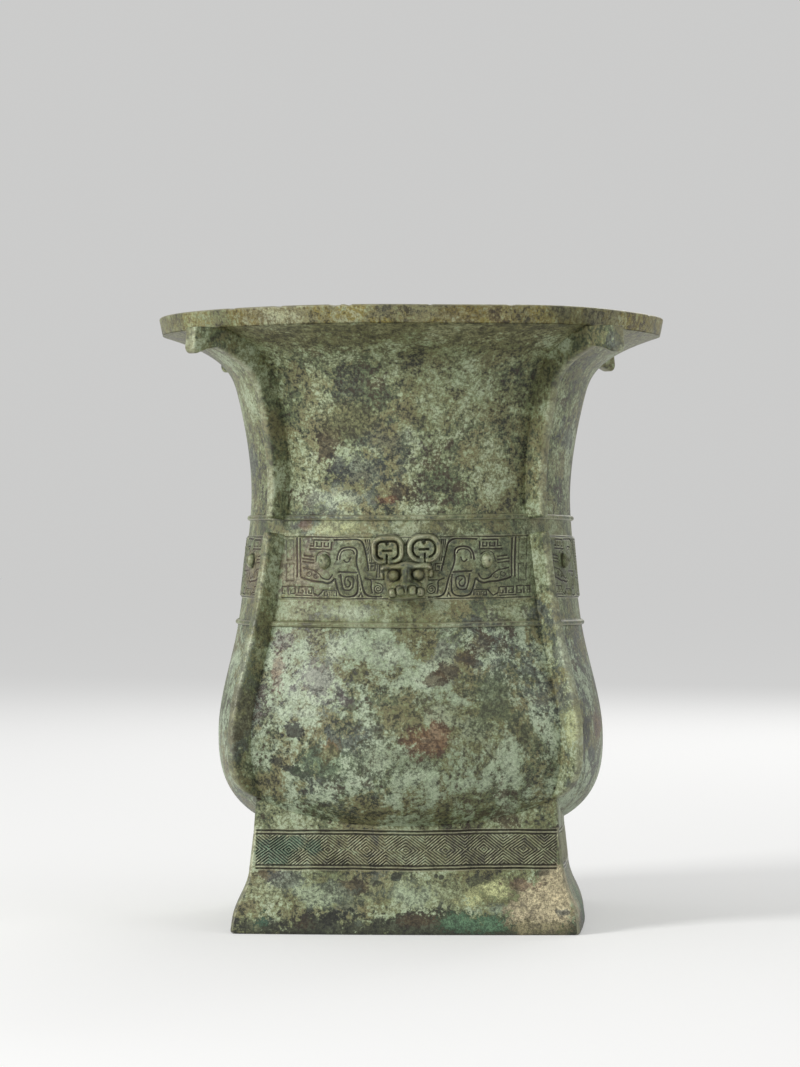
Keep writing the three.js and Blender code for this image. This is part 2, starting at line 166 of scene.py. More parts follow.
# One grid per piece: its vertices take the given places, doubles merge and open ends are filled
def gridPiece(name, places, cavity=None, fillEnds=True, crease=None):
    rows, columns = places.shape[:2]
    bm = bmesh.new()
    bmesh.ops.create_grid(bm, x_segments=columns - 1, y_segments=rows - 1, size=0.5)
    mesh = bpy.data.meshes.new(name)
    bm.to_mesh(mesh)
    flat = np.empty(len(mesh.vertices) * 3)
    mesh.vertices.foreach_get("co", flat)
    flat = flat.reshape(-1, 3)
    i = np.rint((flat[:, 0] + 0.5) * (columns - 1)).astype(int)
    j = np.rint((flat[:, 1] + 0.5) * (rows - 1)).astype(int)
    mesh.vertices.foreach_set("co", (handMade(places[j, i]) * mm).ravel())
    if cavity is not None:
        layer = mesh.attributes.new("cavity", "FLOAT", "POINT")
        layer.data.foreach_set("value", np.broadcast_to(cavity, (rows, columns))[j, i].ravel())
    bm.clear()
    bm.from_mesh(mesh)
    bmesh.ops.remove_doubles(bm, verts=bm.verts, dist=2e-6)
    if fillEnds:
        bmesh.ops.holes_fill(bm, edges=[e for e in bm.edges if e.is_boundary], sides=0)
    bmesh.ops.recalc_face_normals(bm, faces=bm.faces)
    bm.to_mesh(mesh)
    bm.free()
    mesh.shade_smooth()
    if crease is not None:
        mesh.set_sharp_from_angle(angle=radians(crease))
    piece = bpy.data.objects.new(name, mesh)
    bpy.context.collection.objects.link(piece)
    return piece


def dress(piece, finish, slotName, *nodes):
    piece.data.materials.append(finish)
    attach(piece, "root")
    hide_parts(*nodes)


def spaced(low, high, step):
    return np.linspace(low, high, max(2, int(round((high - low) / step)) + 1))


# Drawn relief: strokes cut into a sheet over half a face, x from the middle outwards
stroke = {
    "step": 0.1,
    "floor": 0.35,  # how flat the bottom of a cut is
    "shoulder": 0.42,
    "shoulderRun": 2.1,
    "wear": 0.14,
    "wander": (0.16, 0.14),
}


class Relief:
    def __init__(self, width, height):
        self.step, self.low = stroke["step"], -height / 2
        across = np.arange(0, width + self.step, self.step)
        levels = np.arange(self.low, -self.low + self.step, self.step)
        self.x, self.z = np.meshgrid(across, levels)
        self.h = np.zeros(self.x.shape)

    def away(self, points):
        best = np.full(self.x.shape, 1e6)
        for (ax, az), (bx, bz) in zip(points, points[1:]):
            ex, ez = bx - ax, bz - az
            t = np.clip(((self.x - ax) * ex + (self.z - az) * ez) / max(ex * ex + ez * ez, 1e-9), 0, 1)
            best = np.minimum(best, (self.x - ax - t * ex) ** 2 + (self.z - az - t * ez) ** 2)
        return np.sqrt(best)

    # a flat floor with soft shoulders
    def groove(self, points, width, depth, curved=False):
        d = self.away(curve(points) if curved else points)
        cut = np.clip(1 + stroke["floor"] - (2 * d / width) ** 2, 0, 1)
        shoulder = stroke["shoulder"] * np.clip(1 - d / (stroke["shoulderRun"] * width), 0, 1) ** 2
        self.h = np.minimum(self.h, -depth * np.maximum(cut, shoulder))

    def wear(self):
        waves = np.sin(self.x / 5.3 + 1.0) * np.sin(self.z / 3.1 + self.x / 9.0)
        self.h *= 1 - stroke["wear"] + stroke["wear"] * waves

    # read with a slight wander, so that the two halves of a face are not exact mirror images
    def at(self, x, z):
        sideways, upward = stroke["wander"]
        x, z = x + sideways * np.sin(z / 4.1 + x / 6.0), z + upward * np.sin(x / 5.2 + 0.8)
        fx = np.clip(np.abs(x) / self.step, 0, self.x.shape[1] - 1.001)
        fz = np.clip((z - self.low) / self.step, 0, self.x.shape[0] - 1.001)
        i, j = fx.astype(int), fz.astype(int)
        a, b = fx - i, fz - j
        lower = self.h[j, i] * (1 - a) + self.h[j, i + 1] * a
        upper = self.h[j + 1, i] * (1 - a) + self.h[j + 1, i + 1] * a
        return lower * (1 - b) + upper * b


def curve(points, steps=7):
    p = np.array([points[0]] + list(points) + [points[-1]], float)
    found = []
    for k in range(1, len(p) - 2):
        for t in np.linspace(0, 1, steps, endpoint=False):
            found.append(0.5 * (2 * p[k] + (p[k + 1] - p[k - 1]) * t
                                + (2 * p[k - 1] - 5 * p[k] + 4 * p[k + 1] - p[k + 2]) * t ** 2
                                + (3 * p[k] - p[k - 1] - 3 * p[k + 1] + p[k + 2]) * t ** 3))
    return [tuple(q) for q in found] + [tuple(p[-1])]


def squareSpiral(x, z, width, height, gap=0.9, flipX=1, flipZ=1):
    left, right, low, high = -width / 2, width / 2, -height / 2, height / 2
    points = [(left, low)]
    while right - left > gap and high - low > gap:
        points += [(left, high), (right, high), (right, low), (left + gap, low)]
        left, right, low, high = left + gap, right - gap, low + gap, high - gap
        points += [(left, low)]
    return [(x + flipX * a, z + flipZ * b) for a, b in points]


def roundSpiral(x, z, radius, turns=2.0, flip=1, start=0.0):
    t = np.linspace(0, 1, int(26 * turns))
    r = radius * (1 - 0.88 * t)
    a = start + flip * 2 * pi * turns * t
    return [(x + q * np.cos(b), z + q * np.sin(b)) for q, b in zip(r, a)]


# How far each point lies above or below what is round it: grooves come out negative
def hollowness(h, passes=6, full=0.28):
    soft = h.copy()
    for _ in range(passes):
        beside = sum(np.roll(soft, way, axis) for axis in (0, 1) for way in (1, -1))
        soft = (soft + beside) / 5
    return np.clip((h - soft) / full, -1, 1)


# Node graphs: a term stands for a socket, so that shader sums read as sums
class Term:
    def __init__(self, finish, socket):
        self.finish, self.socket = finish, socket

    def sum(self, operation, first, second):
        return self.finish.node("Math", {"operation": operation}, {0: first, 1: second})

    def __add__(self, other):
        return self.sum("ADD", self, other)

    __radd__ = __add__

    def __sub__(self, other):
        return self.sum("SUBTRACT", self, other)

    def __rsub__(self, other):
        return self.sum("SUBTRACT", other, self)

    def __mul__(self, other):
        return self.sum("MULTIPLY", self, other)

    __rmul__ = __mul__


class Finish:
    def __init__(self, owner):
        self.owner = owner
        owner.use_nodes = True
        self.tree = owner.node_tree
        self.tree.nodes.clear()

    def node(self, kind, settings, sockets, output=0):
        made = self.tree.nodes.new("ShaderNode" + kind)
        for key, value in settings.items():
            setattr(made, key, value)
        for key, value in sockets.items():
            if isinstance(value, Term):
                self.tree.links.new(value.socket, made.inputs[key])
            else:
                made.inputs[key].default_value = value
        if len(made.outputs):
            return Term(self, made.outputs[output])

    def noise(self, place, scale, detail, rough, warp):
        sockets = {"Vector": place, "Scale": scale, "Detail": detail, "Roughness": rough, "Distortion": warp}
        return self.node("TexNoise", {}, sockets)

    # one where the camera or a mirror image looks at the surface
    def shown(self):
        direct = self.node("LightPath", {}, {}, "Is Camera Ray")
        rays = direct.socket.node.outputs
        return direct + Term(self, rays["Is Glossy Ray"]) + Term(self, rays["Is Transmission Ray"])

    def ramp(self, value, low, high, start=0.0, end=1.0):
        sockets = {"Value": value, "From Min": low, "From Max": high, "To Min": start, "To Max": end}
        return self.node("MapRange", {"interpolation_type": "SMOOTHSTEP"}, sockets)

    def mix(self, share, first, second, blend="MIX"):
        settings = {"data_type": "RGBA", "blend_type": blend}
        return self.node("Mix", settings, {0: share, 6: first, 7: second}, 2)

    def offset(self, place, centre, size):
        moved = self.node("VectorMath", {"operation": "SUBTRACT"}, {0: place, 1: centre})
        scaled = self.node("VectorMath", {"operation": "DIVIDE"}, {0: moved, 1: size})
        return self.node("VectorMath", {"operation": "LENGTH"}, {0: scaled}, 1)


def linear(r, g, b):
    return tuple(((c / 255 + 0.055) / 1.055) ** 2.4 for c in (r, g, b)) + (1.0,)


# Colours of the corrosion, as they look in even light
tones = {
    "mint": linear(145, 159, 133),
    "lichen": linear(131, 138, 101),
    "pale": linear(171, 182, 157),
    "green": linear(92, 102, 73),
    "moss": linear(94, 115, 80),
    "olive": linear(107, 105, 66),
    "tan": linear(122, 118, 82),
    "rimTan": linear(139, 126, 54),
    "slate": linear(88, 95, 91),
    "plum": linear(111, 105, 103),
    "dark": linear(41, 43, 32),
    "brown": linear(77, 62, 40),
    "rust": linear(116, 68, 46),
    "rose": linear(142, 114, 94),
    "ochre": linear(146, 118, 68),
    "sand": linear(199, 187, 152),
    "lime": linear(197, 201, 146),
    "malachite": linear(95, 130, 98),
    "turquoise": linear(74, 124, 102),
    # wear: worn bare metal, also used as painted highlight on crests and edges
    "wear": linear(172, 170, 144),
    # soil: earth in the grooves, also used there as painted shade
    "soil": linear(46, 40, 31),
    "clay": linear(98, 74, 56),
}
crusts = ("malachite", "sand", "lime", "turquoise")

# Noises of the patina, from broad zones down to grit: scale, detail, roughness, distortion
noises = {
    "wide": (15.0, 5.0, 0.6, 0.5),
    "lace": (50.0, 12.0, 0.76, 0.3),
    "veil": (42.0, 12.0, 0.74, 0.4),
    "fine": (310.0, 8.0, 0.8, 0.1),
    "speck": (820.0, 4.0, 0.7, 0.0),
    "grit": (2000.0, 2.0, 0.6, 0.0),
}
sheen = {
    "rough": (0.4, 0.6),
    "speckRough": -0.08,
    "wornRough": 0.12,
    "crustRough": 0.14,
    "metal": 0.1,
    "wornMetal": 0.35,
    "coat": 0.1,
    "coatRough": 0.3,
    "bump": 0.6,
    "bumpDepth": 0.0007,
}


# A patina: drifting grounds, growths breaking into specks, placed patches, painted shade in grooves, painted
# highlight on edges, grain
def patina(name, ground, cloud, patches=(), bloom=0.9, mottle=0.85, drift=0.7, earthAndShadeShare=0.9, grainy=1.0):
    f = Finish(bpy.data.materials.new(name))
    place = f.node("TexCoord", {}, {}, 3)
    apart = f.node("VectorMath", {"operation": "ADD"}, {0: place, 1: (3.1, 1.7, 5.3)})
    wide, lace, speck = (f.noise(place, *noises[kind]) for kind in ("wide", "lace", "speck"))
    veil, fine, grit = (f.noise(apart, *noises[kind]) for kind in ("veil", "fine", "grit"))

    zones = wide * 0.5 + veil * 0.3 + fine * 0.2
    colour = f.mix(f.ramp(veil * 0.5 + fine * 0.3 + speck * 0.2, 0.48, 0.52), tones[ground], tones["tan"])
    colour = f.mix(f.ramp(zones, 0.512, 0.545, 0.0, drift), colour, tones["olive"])
    colour = f.mix(f.ramp(zones, 0.445, 0.478, drift, 0.0), colour, tones["slate"])
    growth = lace * 0.62 + wide * 0.1 + fine * 0.16 + speck * 0.12
    colour = f.mix(f.ramp(growth, 0.49, 0.531, 0.0, bloom), colour, tones[cloud])
    frost = f.ramp(lace * 0.5 + speck * 0.25 + fine * 0.25, 0.52, 0.562, 0.0, bloom * 0.85)
    colour = f.mix(frost, colour, tones["pale"])
    film = f.ramp(fine * 0.5 + speck * 0.3 + wide * 0.2, 0.52, 0.555, 0.0, 0.35)
    colour = f.mix(film, colour, tones["moss"])
    specks = f.ramp(lace * 0.36 + fine * 0.4 + speck * 0.24, 0.438, 0.479, mottle, 0.0)
    colour = f.mix(specks, colour, tones["dark"])
    scabs = veil * 0.52 + fine * 0.32 + speck * 0.16
    colour = f.mix(f.ramp(scabs, 0.431, 0.47, mottle * 0.85, 0.0), colour, tones["brown"])
    # earth for the grooves and hollows, which also stands in for painted shade there
    earthAndShade = f.mix(f.ramp(veil, 0.5, 0.6), tones["soil"], tones["dark"])

    # stains break up into specks at their edges, crusts keep a firmer one and a sandy grain
    ragged = (veil - 0.5) * 5.0 + (fine - 0.5) * 3.4 + (speck - 0.5) * 1.6
    stainGrain = f.ramp(fine * 0.6 + speck * 0.4, 0.44, 0.54)
    crustGrain = f.ramp(grit * 0.35 + speck * 0.35 + fine * 0.3, 0.44, 0.54)
    crust = None
    for centre, size, tone, strength, edge in patches:
        distance = f.offset(place, tuple(c * mm for c in centre), tuple(s * mm for s in size))
        firm = tone in crusts
        mask = f.ramp(distance + ragged * edge, 0.9 - 0.2 * edge, 1.0, strength, 0.0)
        deep = [(0.78 if firm else 0.62) * c for c in tones[tone][:3]] + [1.0]
        colour = f.mix(mask, colour, f.mix(crustGrain if firm else stainGrain, deep, tones[tone]))
        if firm:
            crust = mask if crust is None else crust + mask
        if tone == "rose":
            earthAndShade = f.mix(mask, earthAndShade, tones["clay"])

    # grain over all of it, then earth and painted shade in the grooves, bare metal and painted highlight on
    # the edges
    grain = f.ramp(speck * 0.6 + grit * 0.4, 0.4, 0.6, 1 - 0.38 * grainy, 1 + 0.24 * grainy)
    grain = grain * f.ramp(fine * 0.6 + lace * 0.4, 0.42, 0.58, 1 - 0.32 * grainy, 1 + 0.3 * grainy)
    colour = f.mix(1.0, colour, grain, "MULTIPLY")
    cavity = f.node("Attribute", {"attribute_name": "cavity"}, {}, 2)
    # grooves and hollows darken: earth, and painted shade
    groove = f.ramp(cavity + (fine - 0.5) * 0.5 + (veil - 0.5) * 0.5, -0.48, -0.02, earthAndShadeShare, 0.0)
    colour = f.mix(groove, colour, earthAndShade)
    # worn edges and crests are lighter: bare metal, and painted highlight
    worn = f.ramp(cavity + (lace - 0.5) * 0.8, 0.15, 0.8)
    colour = f.mix(worn * 0.7, colour, tones["wear"])

    rough = f.ramp(fine * 0.5 + lace * 0.5, 0.38, 0.62, *sheen["rough"]) + specks * sheen["speckRough"]
    rough = rough - worn * sheen["wornRough"]
    height = fine * 0.5 + speck * 0.3 + lace * 0.6 + specks * -0.3
    if crust is not None:
        rough = rough + crust * sheen["crustRough"]
        height = height + crust * (speck * 1.4 + fine * 0.8)
    bump = f.node("Bump", {}, {"Strength": sheen["bump"], "Distance": sheen["bumpDepth"], "Height": height})
    shader = f.node("BsdfPrincipled", {}, {
        "Base Color": colour, "Roughness": rough, "Normal": bump,
        "Metallic": worn * sheen["wornMetal"] + sheen["metal"],
        "Coat Weight": sheen["coat"], "Coat Roughness": sheen["coatRough"]})
    f.node("OutputMaterial", {}, {"Surface": shader})
    return f.owner


# Where a spot seen on a face lies: across and height in mm, on the front unless turned
footOut = 68.0  # mean reach of the foot's faces
bowlWall = (64.0, 80.0)  # mean corner and face of the bowl, below its widest level


def placed(across, out, height, quarter):
    return tuple(turned(np.array([across, -out, height], float), quarter))


def spot(across, height, quarter=0):
    wall = bowlWall if height < form["bellyWidest"] else (outerCorner(height), outerFace(height))
    return placed(across, outAt(across, *wall), height, quarter)


def footSpot(across, height, quarter=0):
    return placed(across, footOut, height, quarter)


# Wall spacers: dark squares let into the belly wall, a hair proud of it
spacer = {"half": 4.25, "across": -45.9, "level": 85.0, "proud": 0.05, "edge": 0.3, "back": 2.5, "rows": 33}

# Patches: place, half-sizes in mm, tone, strength and how ragged the edge is
bellyPatches = [
    (spot(24, 86), (34, 12, 15), "olive", 0.42, 1.0),
    (spot(2, 74), (26, 12, 7), "green", 0.45, 1.0),
    (spot(9.5, 81.5), (11.5, 9, 6.6), "rust", 0.6, 0.8),
    (spot(-30, 77.5), (4.5, 6, 4.5), "ochre", 0.6, 1.0),
    (spot(-53, 111), (3.2, 8, 11), "rust", 0.5, 1.0),
    (spot(-36, 107), (12, 9, 13), "plum", 0.6, 1.0),
    (spot(-50, 122), (7, 9, 6), "plum", 0.5, 1.0),
    (spot(-30, 118), (9, 9, 8), "pale", 0.7, 1.0),
    (spot(-8, 117), (9, 9, 8), "pale", 0.6, 1.0),
    (spot(14, 112), (10, 9, 10), "pale", 0.5, 1.0),
    (spot(12.7, 106.3), (5.4, 9, 3.0), "brown", 0.75, 0.9),
    (spot(18.7, 109.7), (5.6, 9, 3.6), "brown", 0.8, 0.9),
    (spot(25.6, 114.8), (5.6, 9, 4.0), "brown", 0.75, 0.9),
    (spot(30.5, 120.5), (5.0, 9, 4.2), "brown", 0.5, 1.0),
    (spot(-52.8, 72.0), (4.0, 10, 2.3), "dark", 0.85, 0.5),
    (spot(-48, 69.0), (4.6, 10, 2.1), "dark", 0.85, 0.5),
    (spot(-41.5, 66.8), (6.0, 10, 1.5), "dark", 0.8, 0.6),
    (spot(-40, 92), (12, 8, 3.0), "pale", 0.7, 1.0),
    (spot(38, 98), (14, 10, 14), "green", 0.7, 1.0),
    (spot(-34, 72), (12, 12, 6), "moss", 0.5, 1.0),
    (spot(18, 100, 1), (14, 20, 9), "plum", 0.5, 1.0),
    (spot(-26, 84, 1), (9, 13, 8), "rust", 0.5, 1.0),
    (spot(30, 74, 1), (10, 12, 10), "malachite", 0.35, 1.0),
    (spot(-20, 104, 2), (16, 10, 8), "pale", 0.6, 1.0),
    (spot(28, 86, 2), (11, 9, 9), "brown", 0.6, 1.0),
    (spot(-34, 76, 2), (9, 9, 6), "malachite", 0.4, 1.0),
    (spot(22, 112, 3), (12, 14, 7), "pale", 0.6, 1.0),
    (spot(-20, 96, 3), (10, 14, 9), "brown", 0.55, 1.0),
    (spot(10, 76, 3), (10, 9, 7), "rust", 0.45, 1.0),
]
for quarter, strength in enumerate((0.9, 0.6, 0.7, 0.6)):
    onSpacer = spot(spacer["across"], spacer["level"], quarter)
    bellyPatches.append((onSpacer, (5.8, 6.4, 5.0), "dark", strength, 0.5))
neckPatches = [
    ((0, 0, 253), (400, 400, 10), "tan", 0.7, 1.0),
    (spot(-34, 203), (5.5, 8, 9), "brown", 0.75, 1.0),
    (spot(-27, 196), (4, 8, 4), "dark", 0.6, 1.0),
    (spot(-18, 192), (13, 9, 8), "slate", 0.5, 1.0),
    (spot(-8, 205), (12, 9, 7), "slate", 0.35, 1.0),
    (spot(-3, 184), (8, 9, 4), "brown", 0.7, 1.0),
    (spot(-8, 181), (4.6, 8, 2.2), "rust", 0.6, 1.0),
    (spot(-26, 182), (13, 8, 5), "pale", 0.6, 1.0),
    (spot(-25, 214), (14, 9, 7), "olive", 0.6, 1.0),
    (spot(20, 190, 1), (12, 12, 8), "brown", 0.55, 1.0),
    (spot(-24, 210, 1), (12, 13, 9), "slate", 0.5, 1.0),
    (spot(-16, 188, 2), (13, 9, 8), "pale", 0.55, 1.0),
    (spot(24, 204, 2), (10, 9, 9), "brown", 0.55, 1.0),
    (spot(20, 198, 3), (14, 14, 8), "slate", 0.5, 1.0),
    (spot(-22, 186, 3), (9, 9, 6), "brown", 0.55, 1.0),
]
bandPatches = [
    # all round: a darker ground behind the dragons, painted shade of the relief
    ((0, 0, form["bandMiddle"]), (400, 400, 13.6), "green", 0.5, 0.35),
    (spot(-43, 150), (13, 12, 13), "rose", 0.36, 1.0),
    (spot(-27, 169), (16, 7, 3), "lime", 0.4, 1.0),
    (spot(-42, 170), (2.6, 7, 2.0), "rust", 0.4, 1.0),
    (spot(12, 169.5), (14, 7, 3), "olive", 0.5, 1.0),
    (spot(-24, 134), (13, 7, 3.4), "pale", 0.5, 1.0),
    (spot(20, 152, 1), (12, 12, 10), "rose", 0.3, 1.0),
    (spot(36, 150, 3), (12, 12, 12), "rose", 0.35, 1.0),
    (spot(-20, 156, 2), (13, 8, 9), "malachite", 0.25, 1.0),
]
footPatches = [
    # all round: a dark crust on the plinth and a paler cove, partly painted shade on the upright plinth and
    # painted light on the upturned cove
    ((0, 0, 17), (400, 400, 7), "lichen", 0.5, 1.0),
    ((0, 0, 3), (400, 400, 8), "green", 0.6, 0.8),
    ((0, 0, 2), (400, 400, 7.8), "dark", 0.78, 1.0),
    # front
    (footSpot(-57, 33), (9, 9, 5.6), "turquoise", 0.85, 1.0),
    (footSpot(-48, 37), (6, 9, 3.4), "turquoise", 0.8, 1.0),
    (footSpot(-37.5, 35), (4.4, 9, 3.4), "turquoise", 0.85, 1.0),
    (footSpot(-45, 5), (9, 9, 4.4), "brown", 0.7, 1.0),
    (footSpot(-30, 6.5), (7, 9, 3), "dark", 0.7, 0.9),
    (footSpot(6, 6), (14, 9, 3.6), "brown", 0.7, 1.0),
    (footSpot(-62, 4), (6, 9, 5), "lichen", 0.6, 1.0),
    (footSpot(-58.5, 24.5), (8, 9, 3.4), "brown", 0.8, 0.8),
    (footSpot(-50, 22), (8, 9, 5), "slate", 0.6, 0.8),
    (footSpot(-20.4, 19.5), (8, 8, 3.6), "brown", 0.75, 0.9),
    (footSpot(-3.8, 23.7), (2.4, 8, 2.0), "dark", 0.9, 0.25),
    (footSpot(12.8, 24), (1.0, 8, 1.0), "dark", 0.85, 0.2),
    (footSpot(15, 23.5), (1.4, 8, 1.2), "dark", 0.85, 0.25),
    (footSpot(2.5, 23.5), (0.5, 8, 2.4), "dark", 0.7, 0.1),
    (footSpot(-40, 16), (16, 9, 5), "mint", 0.6, 1.0),
    (footSpot(0, 16), (14, 9, 5), "mint", 0.6, 1.0),
    (footSpot(-59.4, 6.6), (5, 9, 5), "turquoise", 0.55, 1.0),
    (footSpot(-18, 5), (5, 9, 3.4), "mint", 0.6, 0.9),
    (footSpot(31.5, 21.5), (8, 8, 3.4), "dark", 0.6, 0.7),
    (footSpot(36, 11), (11, 9, 4), "mint", 0.8, 0.9),
    (footSpot(29.5, 14.6), (8.5, 9, 5.0), "lime", 0.85, 0.8),
    (footSpot(37.5, 17.4), (10, 9, 5.6), "lime", 0.9, 0.8),
    (footSpot(29.5, 4.4), (17.5, 12, 5.2), "malachite", 0.8, 0.75),
    (footSpot(58, 12), (17.5, 16, 12.5), "sand", 0.9, 0.7),
    (footSpot(64, 20), (10, 12, 7.5), "sand", 0.85, 0.7),
    (footSpot(58, 3), (15, 14, 3.5), "olive", 0.55, 0.9),
    (footSpot(48.5, 20.8), (7, 9, 2.6), "rose", 0.6, 0.9),
    (footSpot(66, 9.4), (4.4, 9, 1.6), "slate", 0.7, 0.8),
    (footSpot(56, 25.4), (4, 9, 1.4), "dark", 0.6, 0.6),
    # the other sides
    (footSpot(10, 16, 1), (26, 26, 7), "brown", 0.5, 1.0),
    (footSpot(-34, 12, 1), (16, 16, 9), "malachite", 0.5, 0.7),
    (footSpot(40, 34, 1), (16, 16, 7), "turquoise", 0.5, 0.9),
    (footSpot(-20, 10, 2), (22, 9, 8), "sand", 0.6, 0.6),
    (footSpot(34, 18, 2), (14, 9, 5), "brown", 0.55, 1.0),
    (footSpot(20, 14, 3), (20, 20, 8), "brown", 0.5, 1.0),
    (footSpot(-36, 8, 3), (16, 16, 7), "malachite", 0.5, 0.7),
]
lipPatches = [
    ((-60, -88, 256), (20, 14, 5), "brown", 0.35, 1.0),
    ((24, -105, 257), (16, 8, 4), "brown", 0.35, 1.0),
    ((70, -82, 256), (20, 16, 6), "olive", 0.5, 1.0),
    ((-96, 40, 256), (12, 18, 6), "brown", 0.4, 1.0),
    ((30, 102, 256), (18, 10, 6), "slate", 0.45, 1.0),
]
flangePatches = [
    ((-71, -71, 120), (8, 8, 16), "pale", 0.5, 1.0),
    ((-70, -70, 92), (8, 8, 10), "tan", 0.5, 1.0),
    ((71, -71, 116), (7, 7, 22), "pale", 0.6, 1.0),
    ((72, -72, 88), (7, 7, 10), "lime", 0.5, 1.0),
    ((70, 70, 104), (8, 8, 16), "brown", 0.4, 1.0),
    ((-70, 70, 98), (8, 8, 16), "slate", 0.45, 1.0),
]

bellyFinish = patina("belly_patina", "green", "mint", bellyPatches, bloom=0.82, mottle=0.78, grainy=0.8)
neckFinish = patina("neck_patina", "green", "lichen", neckPatches, bloom=0.7, drift=0.5)
bandFinish = patina("band_patina", "green", "lichen", bandPatches,
                    bloom=0.6, mottle=0.5, earthAndShadeShare=1.0, grainy=0.6)
footFinish = patina("foot_patina", "green", "lichen", footPatches, bloom=0.8)
lipFinish = patina("lip_patina", "rimTan", "tan", lipPatches, bloom=0.3, mottle=0.7, drift=0.3)
flangeFinish = patina("flange_patina", "green", "lichen", flangePatches, bloom=0.8, mottle=0.5, grainy=0.65)
maskFinish = patina("mask_patina", "green", "lichen", (),
                    bloom=0.5, mottle=0.5, drift=0.5, earthAndShadeShare=0.68, grainy=0.5)
print("patinas made")


# Ornament band between two bow-string ridges
band = {
    "sheet": (60, 28.4),
    "columns": 437,
    "rowStep": 0.22,
    "plainStep": 1.2,
    "ridgeRise": 1.3,
    "ridgeHeight": 2.4,
    "bandRise": 1.0,
    "ledge": 0.6,
    "support": 0.3,
    # wear: how much lighter the ledge's edges and the ridges' shoulders are, wear with painted highlight
    "wear": 0.5,
}

# Its dragons, all lines cut in: places in mm from the face's middle and the band's middle
dragon = {
    "back": ((29.6, 11.8), (24, 12.0), (19.8, 11.8), (17.6, 10.2), (16.5, 6.4), (15.6, 1.5), (15.2, -0.9)),
    "inside": ((28.3, 3.6), (27.9, 6.0), (26.5, 8.1), (23.8, 8.7), (21.2, 8.2), (20.2, 6.6), (20.3, 3.6),
               (19.9, 0.8), (18.8, -2.6), (17.8, -6.0), (17.1, -8.8), (15.9, -11.0), (13.4, -12.0),
               (9.6, -12.0)),
    "echo": ((27.2, 3.9), (26.9, 6.0), (25.8, 7.3), (23.8, 7.7), (22.0, 7.3), (21.2, 6.0)),
    "crescent": ((25.3, 3.2), (24.5, 2.5), (23.4, 2.8), (22.8, 4.2)),
    "leg": ((16.3, -4.4), (13.9, -5.4), (13.8, -8.0), (13.3, -10.4)),
    "trunk": ((29.0, -4.6), (28.4, -7.6), (27.6, -10.2), (26.4, -11.5), (23.8, -12.0), (20.8, -11.4),
              (19.4, -9.0), (19.5, -3.0)),
    "coil": ((26.6, -2.7), (25.8, -8.2), (24.4, -9.2), (22.6, -9.0), (21.4, -7.6), (21.2, -4.6), (22.4, -3.6),
             (24.4, -3.8), (24.9, -6.0), (24.3, -7.6), (23.0, -7.6), (22.5, -6.2), (23.6, -4.9)),
    "upperJaw": ((42.8, -0.2), (40.2, -0.8), (38.4, -1.1), (36.1, -2.7), (34.6, -4.2), (32.3, -4.8),
                 (31.0, -4.1), (30.2, -2.8)),
    "lowerJaw": ((43.6, -4.2), (41.6, -4.9), (37.9, -5.7), (34.8, -5.9), (32.6, -6.4), (30.8, -5.9),
                 (29.4, -4.6)),
    "lid": ((37.2, 2.6), (36.4, 5.8), (33.8, 7.0), (31.2, 5.6)),
    "claw": ((38.6, -8.4), (38.3, -10.6), (36.4, -11.7), (34.9, -10.2), (34.2, -9.3), (28.6, -9.3),
             (28.6, -11.4)),
}
animalFace = Relief(*band["sheet"])
sideFace = Relief(*band["sheet"])
